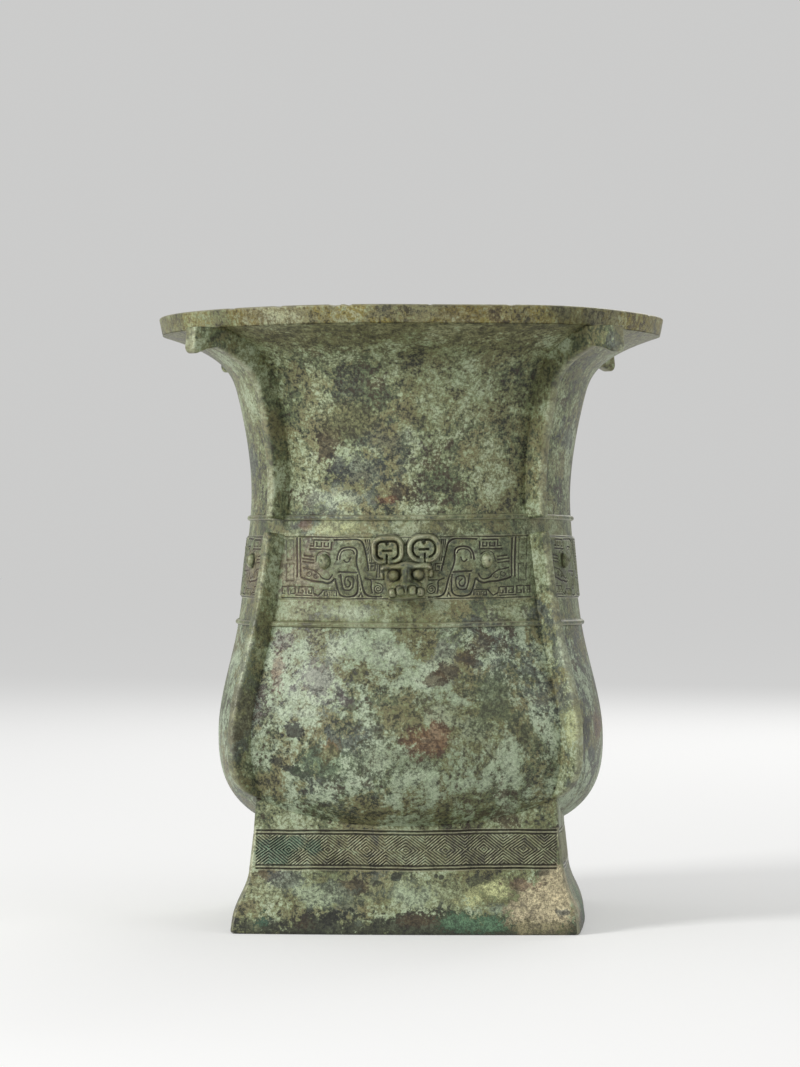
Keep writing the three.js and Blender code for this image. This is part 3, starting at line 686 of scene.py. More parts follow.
for sheet in (animalFace, sideFace):
    for part in ("back", "inside", "trunk", "lowerJaw"):
        sheet.groove(dragon[part], 0.85, 0.75, True)
    for part in ("echo", "crescent", "leg", "coil", "upperJaw"):
        sheet.groove(dragon[part], 0.65, 0.6, True)
    sheet.groove(dragon["lid"], 0.55, 0.45, True)
    # borders and the frame at the ends
    sheet.groove([(0, 13.0), (50.5, 13.0)], 0.8, 0.7)
    sheet.groove([(0, -12.9), (51.5, -12.9)], 0.8, 0.7)
    sheet.groove([(45.4, -3.8), (45.4, 12.3)], 0.85, 0.65)
    sheet.groove([(44.0, -3.6), (44.0, 12.0)], 0.75, 0.6)
    # waist of the body, key pattern of the crest, snout
    sheet.groove([(19.9, -1.9), (27.2, -1.5)], 0.85, 0.75)
    sheet.groove([(30.8, 10.6), (30.8, 7.7), (39.8, 7.7)], 0.75, 0.65)
    sheet.groove([(39.6, 9.0), (38.2, 9.0), (38.2, 11.6), (32.0, 11.6)], 0.6, 0.55)
    sheet.groove([(36.9, 10.4), (36.9, 8.9), (35.0, 8.9), (35.0, 10.4)], 0.6, 0.55)
    sheet.groove([(33.7, 10.4), (33.7, 8.9), (32.1, 8.9), (32.1, 10.4)], 0.6, 0.55)
    for level, outer in ((4.9, 42.0), (3.6, 42.9), (2.3, 42.9)):
        sheet.groove([(38.2, level - 0.4), (outer, level)], 0.65, 0.55)
    sheet.groove(roundSpiral(40.5, -2.8, 1.2, 1.5, 1, 2.0), 0.55, 0.5)
    sheet.groove(roundSpiral(37.4, -3.8, 1.1, 1.5, -1, pi), 0.55, 0.5)
    # claw, box and cloud scrolls along the bottom
    sheet.groove(dragon["claw"], 0.7, 0.6)
    sheet.groove(squareSpiral(32.6, -10.7, 2.2, 1.5, 0.85), 0.5, 0.5)
    sheet.groove(squareSpiral(30.1, -10.7, 1.5, 1.5, 0.85, -1), 0.5, 0.5)
    sheet.groove([(45.6, -11.7), (39.0, -11.7)], 0.6, 0.5)
    sheet.groove(squareSpiral(43.1, -9.5, 2.8, 2.6, 0.95), 0.58, 0.55)
    sheet.groove(squareSpiral(40.1, -9.5, 2.2, 2.6, 0.95, -1), 0.58, 0.55)
    sheet.groove(squareSpiral(47.4, -9.5, 2.8, 3.0, 1.0, -1), 0.58, 0.5)
    sheet.groove(squareSpiral(50.4, -9.5, 2.2, 2.8, 1.0), 0.55, 0.45)
    # worn scrolls beyond the frame
    sheet.groove(squareSpiral(48.4, 7.2, 3.2, 8.4, 1.1), 0.55, 0.28)
    sheet.groove(squareSpiral(48.4, -2.2, 3.2, 7.0, 1.1, -1, -1), 0.55, 0.28)
    # lines and scrolls between the arch and the head
    for across, low in ((15.6, 4.4), (14.8, 2.9), (14.0, 2.9)):
        sheet.groove([(across + 0.9, 11.6), (across, low)], 0.58, 0.62)
    sheet.groove([(15.0, 1.9), (12.5, 1.9), (12.5, -1.0), (14.2, -1.0), (14.2, 0.7), (13.4, 0.7)], 0.6, 0.55)
    sheet.groove([(14.4, -4.9), (8.8, -4.9)], 0.6, 0.5)
    for across in (11.6, 10.7):
        sheet.groove([(across, 1.4), (across, -3.9)], 0.5, 0.5)
    sheet.groove(roundSpiral(10.9, -8.7, 2.3, 2.2, 1, 1.4), 0.55, 0.5)
    sheet.groove([(19.0, -11.9), (18.0, -10.4), (17.4, -12.0)], 0.55, 0.5)
    sheet.groove([(19.3, -2.9), (18.7, -6.0), (18.2, -9.2)], 0.45, 0.45)
animalFace.groove([(0.2, 9.6), (1.6, 12.6)], 0.6, 0.5)
animalFace.groove([(0.0, 11.4), (0.8, 12.7)], 0.5, 0.4)
# the sides carry no head, so a low panel of scrolls fills the middle
sideFace.groove([(0.8, -12.4), (0.8, 12.6)], 0.75, 0.6)
sideFace.groove(squareSpiral(7.0, 8.2, 9.4, 7.2, 1.15, -1), 0.65, 0.6)
sideFace.groove(squareSpiral(5.4, 0.0, 6.8, 7.0, 1.15, -1, -1), 0.65, 0.6)
sideFace.groove(squareSpiral(4.2, -8.4, 4.4, 6.4, 1.15, -1), 0.65, 0.6)
animalFace.wear()
sideFace.wear()
print("band drawn")


def ridgeRise(z, bottom):
    t = np.clip((z - bottom) / band["ridgeHeight"], 0, 1) * 2 - 1
    return band["ridgeRise"] * np.sqrt(np.clip(1 - t ** 2, 0, 1))


def bandWall(quarter, sheet):
    bottom, top, upper = form["collarBottom"], form["collarTop"], form["upperRidge"]
    low, high = form["bandBottom"], form["bandTop"]
    rounds = band["ridgeHeight"] / 2 * (1 - np.cos(np.linspace(0, pi, 13)))
    # rows stop a little short of the ridges and of the ledge, so that these keep their edges
    z = np.concatenate([
        bottom + rounds,
        spaced(bottom + band["ridgeHeight"] + 0.9, low - 0.8, band["plainStep"]),
        spaced(low - 0.4, high + 0.4, band["rowStep"]),
        spaced(high + 0.9, upper - 0.7, band["plainStep"]),
        upper + rounds,
    ])[:, None]
    u = np.linspace(-1, 1, band["columns"])[None, :]
    step = np.clip(np.minimum(z - low, high - z) / band["ledge"], 0, 1)
    rise = band["bandRise"] * step * step * (3 - 2 * step)
    rise = rise + ridgeRise(z, bottom) + ridgeRise(z, upper)
    across, _ = facePoint(u, outerCorner(z), outerFace(z))
    drawn = sheet.at(across, z - form["bandMiddle"] + 0 * across) * step
    across, out = facePoint(u, outerCorner(z), outerFace(z), rise + drawn)
    outside = np.stack([across, -out, z + 0 * across], -1)
    middle = np.linspace(top - band["support"], bottom + band["support"], 9)
    zi = np.concatenate([[top], middle, [bottom]])[:, None]
    across, out = facePoint(u, innerCorner(zi), innerFace(zi))
    inside = np.stack([across, -out, zi + 0 * across], -1)
    places = np.concatenate([outside, inside, outside[:1]])
    # grooves take earth with painted shade; the ledge's edges and the ridges' shoulders are lighter, worn and
    # with painted highlight
    steep = np.abs(np.gradient(rise[:, 0]))[:, None] > 0.1
    hollow = np.zeros(places.shape[:2])
    hollow[:len(z)] = np.clip(hollowness(drawn) + band["wear"] * ((rise > 0.4) & steep), -1, 1)
    return turned(places, quarter), hollow


for quarter, side in enumerate(sides):
    places, hollow = bandWall(quarter, animalFace if quarter % 2 == 0 else sideFace)
    piece = gridPiece("band_relief_" + side, places, hollow)
    dress(piece, bandFinish, "band_bronze", "band_wall_" + side)
print("band walls made")


# The bowl's turn, from its flat floor out to the widest level
bowl = {"underside": 38, "floor": 42, "corner": 24, "face": 30, "fullness": 2.6}


def bowlTurn(turn, bottom, corner, face):
    drop, spread = (np.clip(wave, 0, 1) ** (2 / bowl["fullness"]) for wave in (np.cos(turn), np.sin(turn)))
    z = form["bellyWidest"] - (form["bellyWidest"] - bottom) * drop
    corner = bowl["corner"] + (corner - bowl["corner"]) * spread
    face = bowl["face"] + (face - bowl["face"]) * spread
    return z, corner, face


def bowlRows(bottom, inset, steps):
    return bowlTurn(np.linspace(0, pi / 2, steps), bottom, widestCorner - inset, widestFace - inset)


# Height of the bowl's outside over a place, found by halving
def bowlLevel(across, out):
    reach = np.maximum(np.abs(across), np.abs(out))
    side = np.minimum(np.abs(across), np.abs(out))
    low, high = np.full(reach.shape, 0.02), np.full(reach.shape, pi / 2)
    for _ in range(30):
        turn = (low + high) / 2
        level, corner, face = bowlTurn(turn, bowl["underside"], widestCorner, widestFace)
        short = outAt(side, corner, face) < reach
        low, high = np.where(short, turn, low), np.where(short, high, turn)
    return level


# Foot: plinth, cove, lozenge band and plain top
foot = {
    "plinthHalf": 72.9,
    "plinthSlope": 0.13,
    "coveHalf": 65.6,
    "coveTop": 26.5,
    "coveRun": 16.5,
    "coveReach": 6,
    "coveLimit": 1.6,
    "covePower": 1.6,
    "soften": 1.6,
    "shoulder": 43,
    "taper": 1.8,
    "shoulderRun": 13,
    "shoulderTaper": 0.9,
    "topHalf": 62.9,
    "topMost": 57.4,
    "overlap": 0.5,
    "insideTop": 42,
    "swell": 2.5,
    "wall": 3.5,
    "cornerRound": 1.7,
    "edgeRows": (0, 0.25, 0.7, 1.4),
    "edgeRound": 1.1,
    "plainRows": ((2.4, 8.6, 1.5), (9, 11.4, 0.4), (12.2, 25.6, 0.9)),  # from, to, step
    "drawn": (26, 43.5),  # levels that carry relief
    "rowStep": 0.21,
    "columns": 436,
    # wear: lighter corners from wearFrom on, wear with painted highlight
    "wear": 0.5,
    "wearFrom": 0.985,
}
lozenge = {
    "middle": 34.75,
    "pitch": 16.4,
    "height": 12.6,
    "lineStep": 0.2,
    "lineDepth": 0.7,
    "lineSharp": 0.8,
    "wear": 0.18,
    "borders": (6.45, 7.85),
    "borderHalf": 0.42,
    "borderDepth": 0.8,
    "bandHalf": 63.2,
}


def footHalf(z):
    plinth = foot["plinthHalf"] - foot["plinthSlope"] * z
    under = np.clip((foot["coveTop"] - z) / foot["coveRun"], 0, foot["coveLimit"])
    cove = foot["coveHalf"] + foot["coveReach"] * under ** foot["covePower"]
    blend = np.clip(0.5 + 0.5 * (cove - plinth) / foot["soften"], 0, 1)
    lower = cove + (plinth - cove) * blend - foot["soften"] * blend * (1 - blend)
    taper = foot["taper"] * np.clip((z - foot["coveTop"]) / (foot["shoulder"] - foot["coveTop"]), 0, 1)
    shoulder = foot["shoulderTaper"] * np.clip((z - foot["shoulder"]) / foot["shoulderRun"], 0, 1)
    return np.where(z < foot["coveTop"], lower, foot["coveHalf"] - taper - shoulder)


# Lozenges of nested lines, drawn by hand: lines and edges waver a little
def lozenges(across, z):
    halfPitch, halfHeight = lozenge["pitch"] / 2, lozenge["height"] / 2
    v = z - lozenge["middle"] + 0.14 * np.sin(across / 9.1 + 1.0) + 0.05 * np.sin(across / 2.7)
    reach = np.abs(across) + 0.3 * np.sin(z / 3.3 + across / 12.0) + 0.2 * np.sin(across / 4.9)
    u = (reach + halfPitch) % lozenge["pitch"] - halfPitch
    m = np.abs(u) / halfPitch + np.abs(v) / halfHeight
    waves = np.sin(across / 7.3 + 2.0) * np.sin(z / 2.9 + across / 5.1)
    worn = 1 - lozenge["wear"] + lozenge["wear"] * waves
    ribs = 0.5 - 0.5 * np.cos(2 * pi * m / lozenge["lineStep"])
    lines = worn * lozenge["lineDepth"] * ribs ** lozenge["lineSharp"]
    inside = np.clip((halfHeight - np.abs(v)) / 0.2, 0, 1)
    border = np.zeros(m.shape)
    for level in lozenge["borders"]:
        cut = np.clip(1.3 - ((np.abs(v) - level) / lozenge["borderHalf"]) ** 2, 0, 1)
        border = np.maximum(border, lozenge["borderDepth"] * cut)
    ends = np.clip((lozenge["bandHalf"] - np.abs(across)) / 0.6, 0, 1)
    return -(lines * inside + border) * ends


def footWall(quarter):
    drawnLow, drawnTop = foot["drawn"]
    plain = [spaced(*rows) for rows in foot["plainRows"]]
    z = np.concatenate([foot["edgeRows"], *plain, spaced(drawnLow, drawnTop, foot["rowStep"])])[:, None]
    edge = foot["edgeRound"] * np.clip(1 - z / foot["edgeRows"][-1], 0, 1) ** 2
    u = np.linspace(-1, 1, foot["columns"])[None, :]
    half = footHalf(z) - edge
    across, _ = facePoint(u, half, half + foot["swell"])
    drawn = lozenges(across, z + 0 * across)
    across, out = facePoint(u, half, half + foot["swell"], drawn)
    low = np.stack([*roundCorner(across, out, half, foot["cornerRound"]), z + 0 * across], -1)
    # the plain top climbs to the bowl, and ends just inside it
    across, out = facePoint(u, foot["topHalf"], foot["topHalf"] + foot["swell"])
    across, out = roundCorner(across, out, foot["topHalf"], foot["cornerRound"])
    top = np.minimum(bowlLevel(across, out) + foot["overlap"], foot["topMost"])
    share = np.linspace(0.08, 1, 10)[:, None]
    zt = drawnTop + np.maximum(top - drawnTop, 0.1) * share
    halfTop = footHalf(zt)
    across, out = facePoint(u, halfTop, halfTop + foot["swell"])
    high = np.stack([*roundCorner(across, out, halfTop, foot["cornerRound"]), zt], -1)
    levels = np.linspace(foot["insideTop"], 0, 8)[:, None]
    zi = np.concatenate([zt[-1:], np.repeat(levels, u.size, 1)])
    halfIn = footHalf(zi) - foot["wall"]
    across, out = facePoint(u, halfIn, halfIn + foot["swell"])
    inside = np.stack([across, out, zi], -1)
    places = np.concatenate([low, high, inside, low[:1]])
    places[..., 1] *= -1
    # the lozenge grooves take earth with painted shade, the corners are lighter with wear and painted
    # highlight
    hollow = np.zeros(places.shape[:2])
    hollow[:len(z)] = np.clip(hollowness(drawn) + foot["wear"] * (np.abs(u) > foot["wearFrom"]), -1, 1)
    return turned(places, quarter), hollow


for quarter, side in enumerate(sides):
    places, hollow = footWall(quarter)
    piece = gridPiece("foot_relief_" + side, places, hollow)
    dress(piece, footFinish, "foot_bronze", "foot_wall_" + side)
print("foot walls made")


# Round shells go all the way about: four faces side by side, creased only at their rims
rimCrease = 50


def aroundBody(z, corner, face, columns):
    faces = []
    u = np.linspace(-1, 1, columns + 1)[None, :]
    for quarter in range(4):
        across, out = facePoint(u, corner[:, None], face[:, None])
        flat = np.stack([across, -out, z[:, None] + 0 * across], -1)
        faces.append(turned(flat if quarter == 3 else flat[:, :-1], quarter))
    return np.concatenate(faces, 1)


belly = {"columns": 84, "shoulderRows": 30, "bowlRows": 34, "pole": (0.001, 12)}


def bellyShell():
    up = np.linspace(form["bellyWidest"], form["collarBottom"], belly["shoulderRows"])[1:]
    z, c, f = bowlRows(bowl["underside"], 0, belly["bowlRows"])
    zi, ci, fi = bowlRows(bowl["floor"], form["wall"], belly["bowlRows"])
    pole = np.array(belly["pole"])
    poleFace = pole * bowl["face"] / bowl["corner"]
    rowsZ = [0 * pole + bowl["underside"], z, up, up[::-1], zi[::-1], 0 * pole + bowl["floor"]]
    rowsC = [pole, c, outerCorner(up), innerCorner(up)[::-1], ci[::-1], pole[::-1]]
    rowsF = [poleFace, f, outerFace(up), innerFace(up)[::-1], fi[::-1], poleFace[::-1]]
    return aroundBody(*(np.concatenate(rows) for rows in (rowsZ, rowsC, rowsF)), belly["columns"])


piece = gridPiece("belly_shell", bellyShell(), 0.0, fillEnds=False, crease=rimCrease)
dress(piece, bellyFinish, "belly_bronze", "bowl_base", *("belly_wall_" + side for side in sides))

neck = {"columns": 72, "rows": 56, "gather": 0.7}


def neckShell():
    share = np.linspace(0, 1, neck["rows"]) ** neck["gather"]
    z = form["collarTop"] + (form["lipBottom"] - form["collarTop"]) * share
    rowsZ = np.concatenate([z, z[::-1], z[:1]])
    rowsC = np.concatenate([outerCorner(z), innerCorner(z)[::-1], outerCorner(z[:1])])
    rowsF = np.concatenate([outerFace(z), innerFace(z)[::-1], outerFace(z[:1])])
    return aroundBody(rowsZ, rowsC, rowsF, neck["columns"])


piece = gridPiece("neck_shell", neckShell(), 0.0, fillEnds=False, crease=rimCrease)
dress(piece, neckFinish, "neck_bronze", *("neck_wall_" + side for side in sides))

# Lip, with a rounded rim and small old chips: bearing in degrees, width and depth in mm
lip = {
    "columns": 150,
    "edge": 0.9,
    "under": ((-0.4, 0), (0.1, 0.5), (0.3, 1.3)),  # lower edge, out and up
    # the rim and the lower edge are lighter: wear with painted highlight
    "rimWearAndHighlight": (0.65, 0.8),  # amount and run
    "underWearAndHighlight": (0.4, 0.5),
    "chipDrop": 3.5,
    "chipRun": 3,
    "chips": (
        (-131, 1.8, 0.4), (-118, 1.6, 0.5), (-104.5, 2.2, 0.7), (-101.5, 1.2, 0.6), (-84, 1.0, 0.35),
        (-66, 1.4, 0.4), (-20, 1.6, 0.5), (33, 2.2, 0.6), (75, 1.4, 0.5), (118, 1.8, 0.5), (160, 1.4, 0.4),
    ),
}


def lipRing():
    e, over = lip["edge"], form["rimTop"] - lip["edge"]
    out, up = (np.array(v) for v in zip(*lip["under"]))
    r, z = form["lipRadius"] + out, form["lipBottom"] + up
    turn = np.linspace(0, pi / 2, 5)
    inner = np.linspace(over, form["lipBottom"], 8)
    heights = np.concatenate([
        z[:2], np.linspace(z[2], over, 7), over + e * np.sin(turn), over + e * np.cos(turn), inner, z[:1]])
    radii = np.concatenate([
        r[:2], np.linspace(r[2], form["rimRadius"], 7), form["rimRadius"] - e + e * np.cos(turn),
        form["rimInner"] + e - e * np.sin(turn), innerFace(inner), r[:1]])
    places = aroundBody(heights, radii / diagonal, radii, lip["columns"])
    bearing = np.degrees(np.arctan2(places[..., 1], places[..., 0]))
    high = np.clip(1 + (places[..., 2] - form["rimTop"]) / lip["chipDrop"], 0, 1) ** 2
    reach = np.hypot(places[..., 0], places[..., 1]) - form["rimInner"]
    outer = np.clip((reach - 0.1) / lip["chipRun"], 0, 1)
    for middle, width, depth in lip["chips"]:
        away = radians(1) * ((bearing - middle + 180) % 360 - 180) * form["lipRadius"] / width
        places[..., 2] -= depth * high * outer * np.clip(1.2 - away ** 2, 0, 1)
    # the rim's top and the lip's lower edge are lighter, wear with painted highlight
    wear = ((form["rimTop"], *lip["rimWearAndHighlight"]), (form["lipBottom"], *lip["underWearAndHighlight"]))
    hollow = sum(amount * np.exp(-((heights - level) / run) ** 2) for level, amount, run in wear)
    return places, hollow[:, None]


places, hollow = lipRing()
piece = gridPiece("lip_ring", places, hollow, fillEnds=False, crease=rimCrease)
dress(piece, lipFinish, "lip_bronze", "mouth_lip")
print("shells made")


# Corner flanges: ribbons from the body's corner line to their outer edge, by reach and height
flange = {
    "thickness": 4.4,
    "reach": 9.0,
    "round": 1.5,
    "sink": 1.6,
    "rows": 130,
    # wear: lighter outer edge, wear with painted highlight
    "wear": (0.4, 1.4),  # amount and run
    "endThin": 0.9,
    "endRun": 1.6,
    "foot": (89.0, 56.0),  # where the outer edge starts
    "footRoot": (86.5, 56.6),
    "bendLevel": 60.5,
    "uprightFrom": 75.0,
    "tabEnd": 125.6,
    "tabTop": 124.7,
    "tabBottom": 241.0,
    "tabRound": 2.4,
    "tabRun": 13,
    "tabRise": 8,
    "tabSlope": (6.0, -1.9),
    "tabFlare": 1.0,
    "flareFrom": 112.0,
    "flareRun": 12.0,
    "underLip": 106.5,
}


def cornerLine(corner, z):
    return np.stack([corner * diagonal, z], -1)


def edgeLine(z, step=0.1):
    slope = (outerCorner(z) - outerCorner(z - step)) * diagonal / step
    reach = flange["reach"] / np.sqrt(1 + slope ** 2)
    return cornerLine(outerCorner(z), z) + np.stack([reach, -slope * reach], -1)


def evenly(line, count):
    line = np.asarray(line, float)
    run = np.concatenate([[0], np.cumsum(np.hypot(*np.diff(line, axis=0).T))])
    at = np.linspace(0, run[-1], count)
    return np.stack([np.interp(at, run, line[:, 0]), np.interp(at, run, line[:, 1])], -1)


def lowerFlangeLines():
    t = np.linspace(0, 1, 30)[:, None]
    widest = widestCorner * diagonal + flange["reach"]
    bend, end = np.array([widest, flange["bendLevel"]]), np.array([widest, flange["uprightFrom"]])
    rising = np.array(flange["foot"]) * (1 - t) ** 2 + 2 * bend * t * (1 - t) + end * t ** 2
    z = np.linspace(form["bellyWidest"], form["bandTop"], 60)
    outer = np.concatenate([rising, edgeLine(z)])
    low, c, _ = bowlRows(bowl["underside"], 0, 60)
    keep = low > flange["footRoot"][1] - 0.2
    root = np.concatenate([
        [flange["footRoot"]], cornerLine(c[keep], low[keep]), cornerLine(outerCorner(z[1:]), z[1:])])
    return root - (flange["sink"], 0), outer


# The upper one ends in a tab under the lip, thicker towards its end
def upperFlangeLines():
    under, tabTop = form["lipBottom"], flange["tabTop"]
    bottom, end, r = flange["tabBottom"], flange["tabEnd"], flange["tabRound"]
    z = form["upperRidge"] + (under - form["upperRidge"]) * np.linspace(0, 1, 80) ** 0.6
    edge = edgeLine(z)
    edge = edge[(edge[:, 0] < end - flange["tabRun"]) & (edge[:, 1] < bottom + flange["tabRise"])]
    turn = np.linspace(0, pi / 2, 9)
    tab = np.stack([end - r + r * np.sin(turn), bottom + r - r * np.cos(turn)], -1)
    lead = curve([edge[-2], edge[-1], tab[0] - flange["tabSlope"], tab[0]], 8)[8:]
    outer = np.concatenate([edge, lead, tab, [(tabTop, under - 1.4)]])
    root = cornerLine(outerCorner(z[:-4]), z[:-4]) - (flange["sink"], 0)
    tabRoot = [(flange["underLip"], under - 0.2), (tabTop - 2.0, under - 0.2), (tabTop - 0.4, under - 0.4)]
    return np.concatenate([root, tabRoot]), outer


def flangeRibbon(lines, quarter):
    root, outer = (evenly(line, flange["rows"]) for line in lines)
    half = flange["thickness"] / 2
    turn = np.linspace(0, pi / 2, 6)
    depth = np.linspace(0, 1, 7)[:-1]
    span = np.hypot(*(outer - root).T)[:, None]
    # d runs out from the root and n to one side; the outer edge is rounded
    r = np.minimum(flange["round"], 0.45 * span)
    d = np.concatenate([depth * (span - r), span - r + r * np.sin(turn)], 1)
    n = np.concatenate([half + 0 * depth * span, half - r + r * np.cos(turn)], 1)
    ends = np.arange(flange["rows"])[:, None]
    along = np.minimum(ends, flange["rows"] - 1 - ends) * 0.9 + 0.3
    spread = np.clip((outer[:, :1] - flange["flareFrom"]) / flange["flareRun"], 0, 1)
    thin = flange["endThin"] * np.clip(1 - along / flange["endRun"], 0, 1) ** 2
    n = n + flange["tabFlare"] * spread ** 2 - thin
    d = np.concatenate([d, d[:, ::-1], d[:, :1]], 1) / np.maximum(span, 1e-6)
    n = np.concatenate([n, -n[:, ::-1], n[:, :1]], 1)
    flat = root[:, None] + (outer - root)[:, None] * d[..., None]
    places = np.stack([(flat[..., 0] + n) / diagonal, (n - flat[..., 0]) / diagonal, flat[..., 1]], -1)
    # the outer edge is lighter: wear with painted highlight
    wear, run = flange["wear"]
    return turned(places, quarter), wear * np.exp(-((d * span - span) / run) ** 2)


for quarter, corner in enumerate(cornerNames):
    for kind, lines in (("lower", lowerFlangeLines()), ("upper", upperFlangeLines())):
        places, hollow = flangeRibbon(lines, quarter)
        piece = gridPiece(kind + "_fin_" + corner, places, hollow)
        dress(piece, flangeFinish, "flange_bronze", kind + "_flange_" + corner)
print("flanges made")


# Animal heads in high relief: depth over the band, by place in mm from the head's middle
head = {
    "step": 0.16,
    "across": (-15.6, 15.8),
    "levels": (-13.6, 14.6),
    "sink": 0.9,
    "back": 1.8,
    "shade": (22, 0.9),  # passes and full depth of its hollowness
    "tilt": 0.035,
    "shift": 0.5,
    "cheeks": ((-12.7, 7.7), (-6, 8.8), (0.5, 10.3), (2.2, 10.3)),
    "faceLevels": (-12.8, 2.2),
    "faceDepth": 4.0,
    "faceRound": 2.2,
    "browLine": ((0, 0.9), (2, 0.8), (4.5, 0.55), (7.5, 0.7), (9.4, 0.4), (10.8, -0.2)),
    "browHalf": ((0, 2.0), (2, 1.6), (4.5, 1.25), (7.5, 1.4), (9.4, 1.3), (10.8, 0.3)),
    "browBase": 3.0,
    "browDepth": 6.6,
    "browFall": 0.012,
    "noseHalf": ((-11.2, 0.7), (-9.4, 0.9), (-7.6, 3.6), (-5.5, 3.1), (-2.5, 2.1), (0.8, 2.5)),
    "noseDepth": ((-11.2, 8.2), (-9.4, 9.4), (-7.0, 9.5), (-5, 7.8), (-2.5, 6.7), (1.0, 6.2)),
    "noseLevels": (-11, 1.2),
    "noseBase": 3.4,
    "flutes": ((0.75, 0.5), (2.4, 0.6)),
    "fluteHalf": 0.42,
    "eye": (5.05, -2.75, 2.25, 7.2),  # across, level, radius, depth
    "eyeBase": 3.0,
    "socket": 0.55,
    "pupil": 0.35,
    "ear": (10.0, -2.4, 1.1, 1.8, 3.2, 0.6),  # across, level, half-sizes, depth, base
    "muzzle": (0.0, -8.6, 7.6, 4.3, 9.0, 2.0),
    "lobes": ((2.55, -9.2, 1.6, 1.8, 9.9), (5.75, -10.0, 1.45, 1.65, 8.9)),  # as the ear, without base
    "lobePower": 2.6,
    "lobeRound": 1.6,
    "lipCut": 0.9,
    "mouthCut": 0.5,
    "leftHorn": (7.55, 7.75, 7.0, 6.1, 4.7),  # across, level, half-sizes, corner radius
    "rightHorn": (7.65, 7.85, 7.3, 6.2, 5.9),
    "hornBand": 2.25,
    "hornDepth": 3.5,
    "hornRound": 0.9,
    "hornCut": 1.6,
    "hornLow": 0.4,
    "island": 1.0,
}


# A rounded top that stands on a base: share is one at its middle, and none at its edge
def vault(share, base, top):
    return base + (top - base) * np.sqrt(np.clip(share, 0, 1))


def dome(x, z, cx, cz, rx, rz, height, base):
    inside = 1 - ((x - cx) / rx) ** 2 - ((z - cz) / rz) ** 2
    return np.where(inside > 0, vault(inside, base, height), -head["sink"])


def rounded(edge, height, run):
    t = np.clip(edge / run, 0, 1)
    return np.where(edge > 0, height * np.sqrt(1 - (1 - t) ** 2), -head["sink"])


def boxEdge(x, z, cx, cz, halfX, halfZ, corner):
    qx, qz = np.abs(x - cx) - halfX + corner, np.abs(z - cz) - halfZ + corner
    return corner - np.hypot(np.maximum(qx, 0), np.maximum(qz, 0)) - np.minimum(np.maximum(qx, qz), 0)


def measure(name, at):
    return np.interp(at, *zip(*head[name]))


def ridge(away, half):
    return np.clip(1 - (away / half) ** 2, 0, 1)


def headDepth(x, z):
    a = np.abs(x)
    # face, brow and nose
    low, high = head["faceLevels"]
    edge = np.minimum(np.minimum(measure("cheeks", z) - a, z - low), high - z)
    depth = rounded(edge, head["faceDepth"], head["faceRound"])
    brow = 1 - ((z - measure("browLine", a)) / measure("browHalf", a)) ** 2
    browTop = vault(brow, head["browBase"], head["browDepth"] - head["browFall"] * a ** 2)
    depth = np.maximum(depth, np.where((brow > 0) & (a < head["browLine"][-1][0]), browTop, -1))
    low, high = head["noseLevels"]
    nose = 1 - (x / measure("noseHalf", z)) ** 2
    bridge = vault(nose, head["noseBase"], measure("noseDepth", z))
    depth = np.maximum(depth, np.where((nose > 0) & (z < high) & (z > low), bridge, -1))
    for across, cut in head["flutes"]:
        line = a - across - 0.12 * np.maximum(-2.5 - z, 0)
        depth = depth - cut * ridge(line, head["fluteHalf"]) * ridge(z + 3.0, 3.2)
    # eyes in their sockets, ears beside them
    ex, ez, er, eyeTop = head["eye"]
    ring = np.hypot(a - ex, z - ez)
    depth = depth - head["socket"] * ridge(ring - er - 0.3, 0.5) * (depth > 1)
    depth = np.maximum(depth, dome(a, z, ex, ez, er, er, eyeTop, head["eyeBase"]))
    depth = depth - head["pupil"] * ridge(np.hypot(a - ex - 0.3, z - ez + 0.3), 0.65)
    depth = np.maximum(depth, dome(a, z, *head["ear"]))
    # muzzle, with lobes that stand out under arched lips
    depth = np.maximum(depth, dome(x, z, *head["muzzle"]))
    power = head["lobePower"]
    for across, level, halfX, halfZ, top in head["lobes"]:
        lobe = (np.abs((a - across) / halfX) ** power + np.abs((z - level) / halfZ) ** power) ** (1 / power)
        over = np.clip((z - level) / halfZ + 0.75, 0, 1)
        depth = depth - head["lipCut"] * ridge(lobe - 1.12, 0.26) * over * (depth > 3)
        front = vault(1 - lobe ** 2.4, top - head["lobeRound"], top)
        front = front - 0.3 * np.clip((level - z) / halfZ, 0, 1)
        depth = np.where(lobe < 1, np.maximum(depth, front), depth)
    depth = depth - head["mouthCut"] * ridge(z + 11.7 - 0.02 * a ** 2, 0.4) * (a < 6.5)
    # horns: a raised band curled round an island, its two ends turning in to meet at a slit
    width = head["hornBand"]
    for sign, (hx, hz, halfX, halfZ, corner) in ((-1, head["leftHorn"]), (1, head["rightHorn"])):
        s = x * sign
        edge = boxEdge(s, z, hx, hz, halfX, halfZ, corner)
        tube = np.clip(1 - (2 * edge / width - 1) ** 2, 0, 1) ** 0.5
        horn = head["hornDepth"] * np.clip(edge / 0.5, 0, 1) ** 0.5
        horn = horn - head["hornRound"] * (1 - tube) * (edge < width / 2)
        horn = horn - head["island"] * np.clip((edge / width - 0.6) / 0.4, 0, 1) ** 2
        channel = np.abs(edge - width - 0.3)
        turnIn = (z < hz - 2.2) & (np.abs(s - hx) < 1.9)
        dip = np.hypot((s - hx) / 1.0, (z - hz - 2.9) / 1.35)
        slot = boxEdge(s, z, hx, hz - 0.3, 2.2, 0.42, 0.35)
        slit = boxEdge(s, z, hx + 0.3, hz - 4.0, 0.34, 2.2, 0.3)
        cut = np.clip(1.3 - (channel / 0.42) ** 2, 0, 1) * ~turnIn
        cut = np.maximum(cut, np.clip((1 - dip) / 0.4, 0, 1))
        for other in (slot, slit):
            cut = np.maximum(cut, np.clip(other / 0.25 + 0.4, 0, 1))
        horn = np.where(edge > 0, np.maximum(horn - head["hornCut"] * cut, head["hornLow"]), -head["sink"])
        depth = np.maximum(depth, horn)
    return depth


